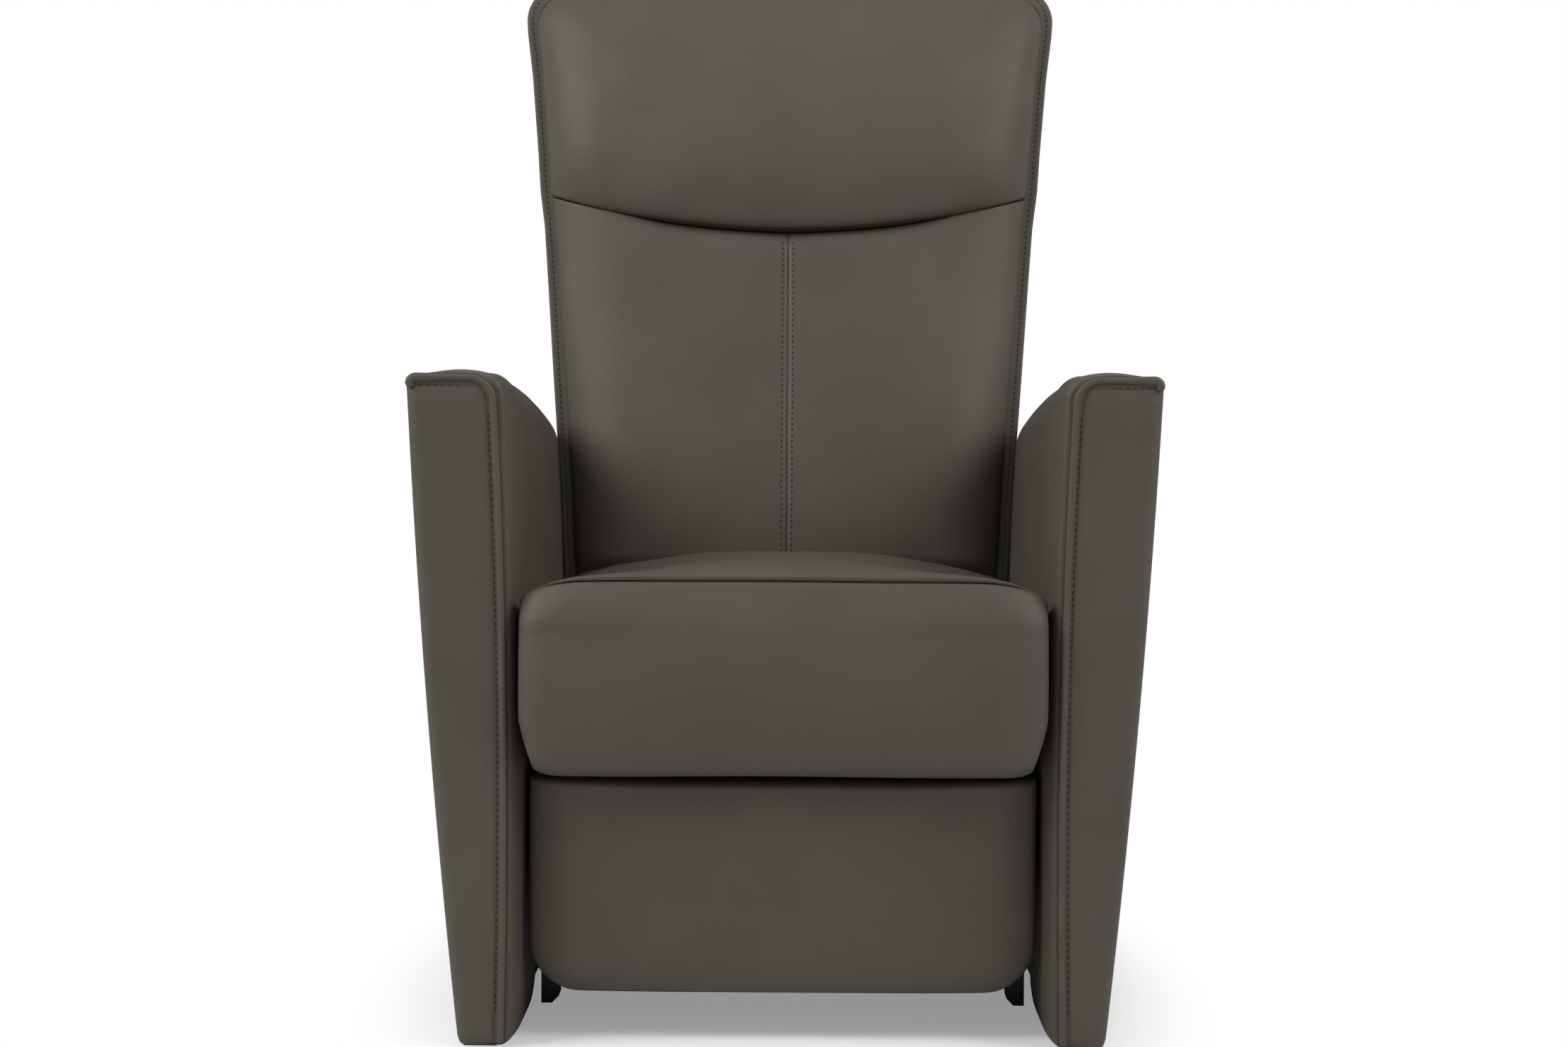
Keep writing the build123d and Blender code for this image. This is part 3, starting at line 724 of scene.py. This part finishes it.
def centre_seam(sheet):
    """Two stitch rows beside the seam down the middle of the lower back, and a dark cord in the seam as painted
    shade.
    """
    rows = sheet[CENTRE_ROWS]
    line = rows[:, rows.shape[1] // 2]
    for name, x in (("left", -CENTRE_STITCH), ("right", CENTRE_STITCH)):
        path = [[x, *(np.interp(x, row[:, 0], row[:, i]) for i in (1, 2))] for row in rows]
        path = np.array(path) + LEAN_OUT * CENTRE_STITCH_OUT
        stitch_row("back_seam_stitches_" + name, path, LEAN_OUT, "back")
    # Painted shade: a dark cord along the seam line.
    line = resample(line + LEAN_OUT * CENTRE_SHADE_CORD_OUT, CENTRE_SHADE_CORD_PITCH)
    rings = cord_rings(line, CENTRE_SHADE_CORD_R, SEAM_SIDES, (1.0, 0.0, 0.0))
    add_tube("back_seam_shade_cord", rings, THREAD_PAINTED_SHADE, "back")


lower_front = lower_back()
headrest()
flange()
rear_cover()
centre_seam(lower_front)


# Seat: one profile run round the cushion, with a half width at each of its points.
SEAT_DOWN, CROWN_DOWN = 0.0015, 0.0055
SEAT_INNER, ROLL_SLACK, TUCK_SLACK = 0.065, 0.001, 0.002
SEAT_THICK = 0.129
SEAT_SEAM_DOWN, SEAT_SEAM_IN = 0.0095, 0.0215
SEAT_COLUMNS = 104
SEAT_SIDE_GAP = 0.0025
FRONT_GROW, FRONT_REACH, FRONT_FADE = 0.0090, 0.075, 0.05
FOOT_TUCK, FOOT_TUCK_HIGH, FOOT_TUCK_FADE = 0.013, 0.058, 0.062
TOP_DOWN, TOP_FADE, TOP_IN, TOP_IN_FADE = 0.075, 0.05, 0.012, 0.035
RIM_DOWN, RIM_FADE = 0.062, 0.045
EDGE_R, EDGE_R_RIM = 0.030, 0.036
FOOT_HIGH, FOOT_FADE = 0.040, 0.030
SINK, SINK_RIM, SINK_FOOT = 0.024, 0.010, 0.013
BOW, BOW_HALF, BOW_POWER = 0.017, 0.25, 2.6
SEAT_GROOVE, SEAT_GROOVE_WIDE, SEAT_GROOVE_FADE = 0.0042, 0.0022, 0.03
SEAM_ZONE = 0.04
PUFF, PUFF_R, PUFF_END, PUFF_FADE = 0.0022, 0.016, 0.02, 0.10
SEAT_RIPPLE, SEAT_RIPPLE_FADE = 0.0008, 0.04
UNDER_GAP, UNDER_FADE = 0.004, 0.02
SEAT_SEW, SEAT_SEAM_HOLD, SEAT_CAP = 0.018, 0.95, 0.007
# Dark cord along the seat's top seam: painted shade of the seam groove.
SEAT_SHADE_CORD_R, SEAT_SHADE_CORD_PITCH, SEAT_SHADE_CORD_ENDS = 0.0010, 0.004, 9
SEAT_SHADE_CORD_OUT = np.array([0.0, -0.0009, 0.0013])


def seat_profile(face, rear, inner, low, crown, under, seam_z):
    """Section of the cushion from front to rear: roll, top, back and underside."""
    tuck, foot = (inner, low), (face + 0.030, low)
    chin, brow = (face + 0.003, low + 0.036), (face + 0.004, crown - 0.066)
    lip = (face + 0.032, seam_z)
    heel, tail = (rear - 0.016, crown - 0.014), (rear, crown - 0.050)
    rear_low, front_low = (rear - 0.006, under), (inner, under)
    return np.concatenate(
        [
            straight(tuck, foot, 6),
            arc(foot, (chin[0], foot[1]), chin, 14),
            straight(chin, brow, 22, (-0.004, 0.0)),
            arc(brow, (brow[0], lip[1]), lip, 34),
            straight(lip, heel, 84, (0.0, 0.001), 1.5),
            arc(heel, (tail[0], heel[1]), tail, 8),
            straight(tail, rear_low, 8),
            straight(rear_low, front_low, 40),
            straight(front_low, tuck, 8),
        ]
    )


def seat():
    face, rear = SEAT_LOW[1], SEAT_HIGH[1]
    low, crown = SEAT_LOW[2] - SEAT_DOWN, SEAT_HIGH[2] - CROWN_DOWN
    inner, under = face + SEAT_INNER, crown - SEAT_THICK
    seam_y, seam_z = face + SEAT_SEAM_IN, crown - SEAT_SEAM_DOWN
    profile = seat_profile(face, rear, inner, low, crown, under, seam_z)
    ahead = np.roll(profile, -1, axis=0) - np.roll(profile, 1, axis=0)
    ahead /= np.linalg.norm(ahead, axis=1)[:, None]
    # From here y, z and what follows from them are columns, one row per profile point.
    y, z = profile[:, :1], profile[:, 1:]
    out_y, out_z = -ahead[:, 1:], ahead[:, :1]
    at_front = smooth((face + FRONT_REACH - y) / FRONT_FADE)
    in_roll = np.where(y < inner + ROLL_SLACK, 1.0, at_front)
    half = SEAT_HIGH[0] - SEAT_SIDE_GAP + FRONT_GROW * at_front
    half = half - FOOT_TUCK * in_roll * smooth((low + FOOT_TUCK_HIGH - z) / FOOT_TUCK_FADE)
    x = spread(SEAT_COLUMNS)[None, :] * half
    side = half - np.abs(x)
    on_top = smooth((z - (crown - TOP_DOWN)) / TOP_FADE)
    on_top = on_top * smooth((y - face - TOP_IN) / TOP_IN_FADE)
    at_rim = np.maximum(on_top, in_roll * smooth((z - (crown - RIM_DOWN)) / RIM_FADE))
    at_foot = in_roll * smooth((low + FOOT_HIGH - z) / FOOT_FADE)
    sink = 1.0 - dome(side, EDGE_R + EDGE_R_RIM * at_rim)
    sink = sink * (SINK + SINK_RIM * at_rim - SINK_FOOT * at_foot)
    bow = BOW * on_top * np.abs(x / BOW_HALF) ** BOW_POWER
    in_zone = z > crown - SEAM_ZONE
    at_seam = bell(y - seam_y, SEAT_GROOVE_WIDE) * in_zone
    groove = SEAT_GROOVE * at_seam * smooth(side / SEAT_GROOVE_FADE)
    puff = PUFF * dome(y - seam_y, PUFF_R) * in_zone
    puff = puff * smooth((rear - PUFF_END - y) / PUFF_FADE)
    shaped = smooth((z - under - UNDER_GAP) / UNDER_FADE) + (y < inner + TUCK_SLACK)
    shaped = np.clip(shaped, 0.0, 1.0)
    uneven = SEAT_RIPPLE * ripple(x, y + z, 21) * smooth(side / SEAT_RIPPLE_FADE)
    move = (-sink - bow - groove + uneven + puff) * shaped
    rings = np.stack([x, y + out_y * move, z + out_z * move], axis=-1).transpose(1, 0, 2)
    piece = add_tube("seat", rings, LEATHER, "base")
    hold = SEAT_SEAM_HOLD * at_seam + (side < SEAT_SEW) + (1.0 - shaped)
    inflate(piece, hold.T, SEAT_CAP)
    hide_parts("seat_cushion")
    finer(piece)
    # Painted shade: a dark cord laid along the seam groove.
    row = int(np.argmax(at_seam))
    ends = SEAT_SHADE_CORD_ENDS
    line = placed_points(piece, rings.shape)[ends:-ends, row] + SEAT_SHADE_CORD_OUT
    line = resample(line, SEAT_SHADE_CORD_PITCH)
    rings = cord_rings(line, SEAT_SHADE_CORD_R, SEAM_SIDES, (0.0, 0.0, 1.0))
    add_tube("seat_seam_shade_cord", rings, THREAD_PAINTED_SHADE, "base")


seat()


# Arms: sections across the arm, from the facing at the front to the rounded rear.
ARM_FOOT = ARM_LOW[2] - 0.006
OUTER_Z, OUTER_SPAN, OUTER_INSET = 0.601, 0.587, 0.0002
OUTER_SLOPE, OUTER_CURVE = 0.0309, 0.0164
WAIST_Z, WAIST_UP, WAIST_DOWN = 0.22, 0.397, 0.211
INNER_AT_WAIST, INNER_UP, INNER_DOWN = 0.0126, 0.0102, 0.0024

# Pad: it swells behind the welt, falls towards the rear and is rounded at its end.
PAD_TOP, PAD_SWELL, PAD_SWELL_R = 0.6452, 0.0050, 0.15
PAD_FALL, PAD_FALL_START, PAD_FALL_POWER = 0.0340, 0.40, 1.6
PAD_NEAR_R, PAD_NEAR_IN, PAD_INSET = 0.12, 0.0120, 0.0003
PAD_OUTER_INSET = 0.0008
END_START, END_DOWN, END_IN, END_OUT = 0.90, 0.008, 0.002, 0.010
LEAN_IN, LEAN_IN_NEAR, LEAN_IN_REAR, LEAN_IN_START = 0.0125, 0.0045, 0.0020, 0.6
SHOULDER, SHOULDER_MORE, SHOULDER_REACH = 0.021, 0.032, 0.45
OUTER_ROUND = 0.020
TOP_SAG, TOP_CROWN = 0.001, 0.003
INNER_BREAK_Z, INNER_FOOT = 0.36, 0.045
INNER_BULGE_HIGH, INNER_BULGE_LOW = 0.001, 0.0006
LOW_ROUND_NEAR, LOW_ROUND_MORE = 0.008, 0.004
FOOT_ROUND_X, FOOT_ROUND_Z = 0.006, 0.008
ARM_STATIONS, STATION_GATHER, STATION_EASE = 80, 1.35, 0.25
INSIDE_REACH = 0.04
FOLD_Z, FOLD_WIDE, FOLD_DEEP = 0.354, 0.004, 0.0024
ARM_RIPPLE, ARM_RIPPLE_Z, ARM_RIPPLE_FADE = 0.0005, 0.03, 0.06
# Room for the steel base behind the front feet.
RECESS, RECESS_Z, RECESS_FADE = 0.009, 0.12, 0.06
RECESS_Y, RECESS_Y_FADE = -0.22, 0.10

# Facing and the welt along its inner and upper edge, with an ear at the outer corner.
WELT_R, WELT_SIDES = 0.0034, 14
BAND_TOP, BAND_TURN = 0.6436, 0.024
WELT_FOOT, WELT_INTO = 0.004, 0.0004
EAR_INSET, EAR_TURN, EAR_HOOK, EAR_LOW = 0.0042, 0.006, 0.0040, 0.0098
EAR_SWELL, EAR_SWELL_FROM, EAR_SWELL_OVER = 0.28, 34, 18.0
EAR_END = np.array([1.24, 1.14, 0.98, 0.74, 0.36])
FACING_INSET = 0.0020
FACING_LOW_R, FACING_LOW_CUT = 0.012, 0.006
FACING_SIDE_R, FACING_FOOT_R = 0.012, 0.014
FACING_BACK, FACING_REAR = 0.0006, 0.0004
FACING_DEEP, FACING_CROWN, FACING_CROWN_FADE = 0.0092, 0.0022, 0.020
BAND_SEAM, BAND_SEAM_DEEP, BAND_SEAM_WIDE = 0.0068, 0.0016, 0.0022
BAND_EDGE, BAND_EDGE_DEEP = 0.004, 0.0026
FACING_RIPPLE = 0.0003
# Dark cord between the welt and the pad: painted shade of the seam line.
ARM_SHADE_CORD_R, ARM_SHADE_CORD_PITCH, ARM_SHADE_CORD_END = 0.0010, 0.005, 16
ARM_SHADE_CORD_SUNK, ARM_SHADE_CORD_BACK = 0.0003, 0.75
SEWN_DEEP, SEWN_SIDE, SEWN_DOWN = 0.0080, 0.0092, 0.0080
SEWN_FOOT, SEWN_CORNER, SEWN_EAR = 0.03, 0.006, 0.008
FORWARDS = (0.0, -1.0, 0.0)


def arm_outer(z):
    """Outer face of an arm at a height."""
    t = (OUTER_Z - z) / OUTER_SPAN
    return ARM_HIGH[0] - OUTER_INSET - OUTER_SLOPE * t - OUTER_CURVE * t * np.abs(t)


def arm_inner(z):
    """Inner seam between the facing and the pad at a height."""
    up = np.maximum(z - WAIST_Z, 0.0) / WAIST_UP
    down = np.maximum(WAIST_Z - z, 0.0) / WAIST_DOWN
    return ARM_LOW[0] + INNER_AT_WAIST + INNER_UP * up**2 + INNER_DOWN * down**2


def arm_section(t):
    """Section of the pad, x and z, at a share of its length from the front."""
    foot = ARM_FOOT
    near = 1.0 - dome(t, PAD_NEAR_R)
    end = smooth((t - END_START) / (1.0 - END_START)) ** 2
    behind = np.clip((t - PAD_FALL_START) / (1.0 - PAD_FALL_START), 0.0, 1.0)
    top = PAD_TOP + PAD_SWELL * dome(t, PAD_SWELL_R)
    top = top - PAD_FALL * behind**PAD_FALL_POWER - END_DOWN * end
    in_mid = ARM_LOW[0] + PAD_INSET + PAD_NEAR_IN * near + END_IN * end
    rear_part = smooth((t - LEAN_IN_START) / (1.0 - LEAN_IN_START))
    in_top = in_mid + LEAN_IN - LEAN_IN_NEAR * near - LEAN_IN_REAR * rear_part
    shoulder = SHOULDER + SHOULDER_MORE * smooth(t / SHOULDER_REACH)
    low_round = LOW_ROUND_NEAR + LOW_ROUND_MORE * (1.0 - near)
    outer_in = PAD_OUTER_INSET + END_OUT * end
    top_z, foot_z = top - OUTER_ROUND, foot + FOOT_ROUND_Z
    side_z = np.linspace(foot_z, top_z, 26, endpoint=False)
    side_x = arm_outer(side_z) - outer_in
    out_low, out_top = side_x[0], arm_outer(top_z) - outer_in
    crest = (out_top - OUTER_ROUND, top)
    ridge, brow = (in_top + shoulder, top - TOP_SAG), (in_top, top - shoulder)
    bend, ankle = (in_mid, INNER_BREAK_Z), (in_mid, foot + INNER_FOOT)
    sole, toe = (in_mid + low_round, foot), (out_low - FOOT_ROUND_X, foot)
    return np.concatenate(
        [
            np.stack([side_x, side_z], axis=1),
            arc((out_top, top_z), (out_top, top), crest, 10),
            straight(crest, ridge, 8, (0.0, TOP_CROWN)),
            arc(ridge, (in_top, top), brow, 16),
            straight(brow, bend, 14, (-INNER_BULGE_HIGH, 0.0)),
            straight(bend, ankle, 22, (-INNER_BULGE_LOW, 0.0)),
            arc(ankle, (in_mid, foot), sole, 12),
            straight(sole, toe, 5),
            arc(toe, (out_low, foot), (out_low, foot_z), 5),
        ]
    )


def arm(side, name):
    """Padded cover of one arm."""
    front, rear = ARM_LOW[1], ARM_HIGH[1]
    share = np.linspace(0.0, 1.0, ARM_STATIONS) ** STATION_GATHER
    eased = np.sin(0.5 * math.pi * share)
    share = (1.0 - STATION_EASE) * share + STATION_EASE * eased
    rings = []
    for t in share:
        y = front + (rear - front) * t
        x, z = arm_section(t).T
        inside = x < ARM_LOW[0] + INSIDE_REACH
        fold = FOLD_DEEP * (bell(z - FOLD_Z, FOLD_WIDE) * inside)
        puff = ARM_RIPPLE * np.abs(ripple(z, y, 31))
        puff = puff * smooth((z - ARM_RIPPLE_Z) / ARM_RIPPLE_FADE)
        x = x + np.where(inside, fold + puff, -puff)
        recess = smooth((RECESS_Z - z) / RECESS_FADE) * smooth((y - RECESS_Y) / RECESS_Y_FADE)
        x = x + RECESS * recess * inside
        rings.append(sheet_points(side * x, y, z))
    piece = add_tube("arm_" + name, rings, LEATHER, "base")
    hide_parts("arm_pad_" + name)
    finer(piece)


def welt_line(side):
    """Rolled edge of the facing: up its inner side, round the corner and to the ear."""
    turn_z = BAND_TOP - BAND_TURN
    heights = np.linspace(ARM_FOOT + WELT_FOOT, turn_z, 90)
    inner = arm_inner(heights) + WELT_R
    x = inner[-1]
    ear = arm_outer(BAND_TOP) - EAR_INSET
    over = np.linspace(x + BAND_TURN, ear - EAR_TURN, 30, endpoint=False)
    ear_top, ear_side = (ear - EAR_TURN, BAND_TOP), (ear, BAND_TOP - EAR_TURN)
    flat = np.concatenate(
        [
            np.stack([inner, heights], axis=1),
            arc((x, turn_z), (x, BAND_TOP), (x + BAND_TURN, BAND_TOP), 18),
            np.stack([over, np.full(over.shape, BAND_TOP)], axis=1),
            arc(ear_top, (ear, BAND_TOP), ear_side, 10),
            straight(ear_side, (ear - EAR_HOOK, BAND_TOP - EAR_LOW), 6),
        ]
    )
    return sheet_points(side * flat[:, 0], FACING_LOW[1] + WELT_R - WELT_INTO, flat[:, 1])


def facing(side, name):
    """Flat front of one arm, narrowing downwards."""
    rows, columns = 150, 44
    low, high = ARM_FOOT, BAND_TOP
    u = spread_up(columns)[None, :]
    z = low + spread_up(rows)[:, None] * (high - low)
    foot_cut = FACING_LOW_CUT * corner_cut(low + FACING_LOW_R - z, FACING_LOW_R)
    inner = arm_inner(z) + FACING_INSET
    inner = inner + BAND_TURN * corner_cut(z - (high - BAND_TURN), BAND_TURN) + foot_cut
    outer = arm_outer(z) - foot_cut
    x = inner + u * (outer - inner)
    band = np.minimum(x - inner, high - z)
    fill = dome(outer - x, FACING_SIDE_R) * dome(z - low, FACING_FOOT_R)
    depth = FACING_DEEP + FACING_CROWN * smooth((band - BAND_EDGE) / FACING_CROWN_FADE)
    depth = depth - BAND_SEAM_DEEP * bell(band - BAND_SEAM, BAND_SEAM_WIDE)
    depth = depth - BAND_EDGE_DEEP * smooth(1.0 - band / BAND_EDGE)
    y = FACING_HIGH[1] - FACING_BACK - depth * fill
    y = y + FACING_RIPPLE * ripple(x, z, 41) * fill
    front = sheet_points(side * x, y, z)
    rear = sheet_points(side * x, FACING_HIGH[1] - FACING_REAR, z)
    piece = add_pillow("arm_facing_" + name, front, rear, "base")
    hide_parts("arm_front_" + name)


def welt(side, name):
    """Welt of one arm and a dark cord behind it, painted shade of the seam line."""
    path, ahead = path_frames(welt_line(side))
    to_ear = np.arange(len(path)) - len(path) + EAR_SWELL_FROM
    radius = WELT_R * (1.0 + EAR_SWELL * smooth(to_ear / EAR_SWELL_OVER))
    radius[-len(EAR_END) :] = WELT_R * EAR_END
    piece = add_tube("arm_piping_" + name, cord_rings(path, radius, WELT_SIDES), LEATHER, "base")
    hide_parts("arm_welt_" + name)
    finer(piece)
    away = sheet_points(-side * ahead[:, 2], 0.0, side * ahead[:, 0])
    back = np.array([0.0, WELT_R * ARM_SHADE_CORD_BACK, 0.0])
    seam = (path + away * (WELT_R - ARM_SHADE_CORD_SUNK) + back)[:-ARM_SHADE_CORD_END]
    # Painted shade: a dark cord along the seam behind the welt.
    rings = cord_rings(resample(seam, ARM_SHADE_CORD_PITCH), ARM_SHADE_CORD_R, SEAM_SIDES)
    add_tube("arm_seam_shade_cord_" + name, rings, THREAD_PAINTED_SHADE, "base")


def facing_stitches(side, name):
    """Stitch rows on the facing beside the welt."""
    y = FACING_HIGH[1] - FACING_BACK - SEWN_DEEP
    z = np.linspace(ARM_FOOT + SEWN_FOOT, BAND_TOP - BAND_TURN - SEWN_CORNER, 160)
    path = sheet_points(side * (arm_inner(z) + SEWN_SIDE), y, z)
    stitch_row("arm_stitches_" + name, path, FORWARDS, "base")
    start = arm_inner(BAND_TOP) + BAND_TURN + SEWN_CORNER
    x = np.linspace(start, arm_outer(BAND_TOP) - SEWN_EAR, 60)
    path = sheet_points(side * x, y, BAND_TOP - SEWN_DOWN)
    stitch_row("arm_top_stitches_" + name, path, FORWARDS, "base")


for side, name in ((-1, "left"), (1, "right")):
    arm(side, name)
    facing(side, name)
    welt(side, name)
    facing_stitches(side, name)


# Footrest pad: a rounded panel that swells from its board and wraps round its edge.
REST_GROW = 0.0024
REST_CORNER_HIGH, REST_CORNER_WIDE = 0.052, 0.058
REST_TOP_R = 0.006
REST_SIDE_R, REST_LOW_R, REST_HIGH_R = 0.125, 0.040, 0.010
REST_SWELL, REST_SWELL_MORE = 0.028, 0.004
REST_SWELL_SIDE, REST_SWELL_LOW = 0.16, 0.1
REST_HEM, REST_WRAP_R, REST_REAR = 0.0008, 0.006, 0.004
REST_SEW_SIDE, REST_SEW_LOW, REST_SEW_HIGH = 0.020, 0.016, 0.012
REST_CAP, REST_PRESSURE = 0.005, 3.0

# Rear panel between the arms.
PANEL_EDGE_R = 0.016
PANEL_START, PANEL_SWELL, PANEL_REAR = 0.002, 0.012, 0.0005
PANEL_RIPPLE = 0.0004


def footrest():
    rows, columns = 60, 104
    low, high = REST_LOW[2], REST_HIGH[2]
    z = low + spread_up(rows)[:, None] * (high - low)
    half = REST_HIGH[0] + REST_GROW
    half = half - REST_CORNER_WIDE * corner_cut(low + REST_CORNER_HIGH - z, REST_CORNER_HIGH)
    half = half - REST_TOP_R * corner_cut(z - (high - REST_TOP_R), REST_TOP_R)
    x = spread(columns)[None, :] * half
    side = half - np.abs(x)
    fill = dome(side, REST_SIDE_R) * dome(z - low, REST_LOW_R) * dome(high - z, REST_HIGH_R)
    swell = smooth(side / REST_SWELL_SIDE) * smooth((z - low) / REST_SWELL_LOW)
    swell = REST_SWELL + REST_SWELL_MORE * swell
    wrap = dome(side, REST_WRAP_R) * dome(z - low, REST_WRAP_R) * dome(high - z, REST_WRAP_R)
    hem = BOARD_HIGH[1] - REST_HEM
    y = hem - (hem - BOARD_LOW[1]) * wrap - swell * fill
    y = y + COVER_RIPPLE * ripple(x, z, 51) * fill
    front, rear = sheet_points(x, y, z), sheet_points(x, hem - REST_REAR * wrap, z)
    piece = add_pillow("footrest_panel", front, rear, "footrest")
    hold = smooth(1.0 - side / REST_SEW_SIDE) + smooth(1.0 - (z - low) / REST_SEW_LOW)
    hold = hold + smooth(1.0 - (high - z) / REST_SEW_HIGH)
    inflate(piece, hold, REST_CAP, REST_PRESSURE)
    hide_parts("footrest_pad")
    finer(piece)


def apron():
    rows, columns = 40, 60
    low, high = APRON_LOW[2], APRON_HIGH[2]
    z = low + spread_up(rows)[:, None] * (high - low)
    x = spread(columns)[None, ::-1] * APRON_HIGH[0]
    side = APRON_HIGH[0] - np.abs(x)
    fill = dome(side, PANEL_EDGE_R) * dome(z - low, PANEL_EDGE_R)
    fill = fill * dome(high - z, PANEL_EDGE_R)
    y = APRON_LOW[1] + PANEL_START + PANEL_SWELL * fill
    y = y + PANEL_RIPPLE * ripple(x, z, 61) * fill
    front, rear = sheet_points(x, y, z), sheet_points(x, APRON_LOW[1] + PANEL_REAR, z)
    piece = add_pillow("rear_panel", front, rear, "base")
    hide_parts("rear_apron")


footrest()
apron()

# Studio: white floor and surroundings, soft light, camera in front of the chair.
WHITE = (1.0, 1.0, 1.0, 1.0)
FLOOR_SIZE = 40.0
FLOOR_TONE = (0.82, 0.82, 0.82, 1.0)
# The floor turns white away from the chair, over a distance that counts depth less.
FLOOR_FADE = {"From Min": 0.28, "From Max": 0.46, "To Min": 0.29, "To Max": 1.0}
FLOOR_DEPTH_COUNTS = 0.45
SKY_LIGHT = 0.45
# Name, place, aim, size and power of each lamp.
LAMPS = (
    ("key", (-2.3, -1.1, 2.3), (0.0, 0.0, 0.5), 1.6, 72.0),
    ("fill", (2.3, -1.1, 2.3), (0.0, 0.0, 0.5), 1.6, 55.0),
    ("top", (0.0, -0.7, 3.0), (0.0, 0.0, 0.4), 2.6, 12.0),
)
CAMERA_PLACE = (0.013, -3.082, 0.600)
CAMERA_TURN = (88.0, -0.32, 0.29)
LENS, SENSOR = 65.0, 36.0


def add_floor():
    bpy.ops.mesh.primitive_plane_add(size=FLOOR_SIZE, location=(0.0, 0.0, 0.0))
    floor = bpy.context.object
    floor.name = "floor"
    material, nodes, links, shader = node_material("pale_floor")
    set_inputs(shader, {"Base Color": FLOOR_TONE, "Roughness": 0.9})
    glow = add_node(nodes, "Emission", {"Strength": 1.0})
    seen = add_node(nodes, "LightPath")
    place = add_node(nodes, "TexCoord")
    squeeze = add_node(nodes, "Mapping", {"Scale": (1.0, FLOOR_DEPTH_COUNTS, 1.0)})
    reach = nodes.new("ShaderNodeVectorMath")
    reach.operation = "LENGTH"
    fade = nodes.new("ShaderNodeMapRange")
    fade.interpolation_type = "SMOOTHSTEP"
    set_inputs(fade, FLOOR_FADE)
    share = nodes.new("ShaderNodeMath")
    share.operation = "MULTIPLY"
    mix = add_node(nodes, "MixShader")
    links.new(place.outputs["Object"], squeeze.inputs["Vector"])
    links.new(squeeze.outputs["Vector"], reach.inputs[0])
    links.new(reach.outputs["Value"], fade.inputs["Value"])
    links.new(seen.outputs["Is Camera Ray"], share.inputs[0])
    links.new(fade.outputs["Result"], share.inputs[1])
    links.new(share.outputs["Value"], mix.inputs["Fac"])
    links.new(shader.outputs["BSDF"], mix.inputs[1])
    links.new(glow.outputs["Emission"], mix.inputs[2])
    links.new(mix.outputs["Shader"], nodes["Material Output"].inputs["Surface"])
    floor.data.materials.append(material)


def add_sky(scene):
    world = bpy.data.worlds.new("studio")
    scene.world = world
    world.use_nodes = True
    nodes, links = world.node_tree.nodes, world.node_tree.links
    light = nodes["Background"]
    set_inputs(light, {"Color": WHITE, "Strength": SKY_LIGHT})
    shown = add_node(nodes, "Background", {"Color": WHITE, "Strength": 1.0})
    seen = add_node(nodes, "LightPath")
    mix = add_node(nodes, "MixShader")
    links.new(seen.outputs["Is Camera Ray"], mix.inputs["Fac"])
    links.new(light.outputs["Background"], mix.inputs[1])
    links.new(shown.outputs["Background"], mix.inputs[2])
    links.new(mix.outputs["Shader"], nodes["World Output"].inputs["Surface"])


def add_lamps(scene):
    for name, place, aim, size, power in LAMPS:
        data = bpy.data.lights.new(name, "AREA")
        data.size = size
        data.energy = power
        lamp = bpy.data.objects.new(name, data)
        scene.collection.objects.link(lamp)
        lamp.location = place
        x, y, z = np.array(aim) - np.array(place)
        lamp.rotation_euler = (math.atan2(math.hypot(x, y), -z), 0.0, math.atan2(-x, y))


def add_camera(scene):
    data = bpy.data.cameras.new("camera")
    data.sensor_width = SENSOR
    data.lens = LENS
    data.dof.use_dof = False
    camera = bpy.data.objects.new("camera", data)
    scene.collection.objects.link(camera)
    camera.location = CAMERA_PLACE
    camera.rotation_euler = [math.radians(turn) for turn in CAMERA_TURN]
    scene.camera = camera
    scene.view_settings.view_transform = "Standard"


add_floor()
add_sky(bpy.context.scene)
add_lamps(bpy.context.scene)
add_camera(bpy.context.scene)
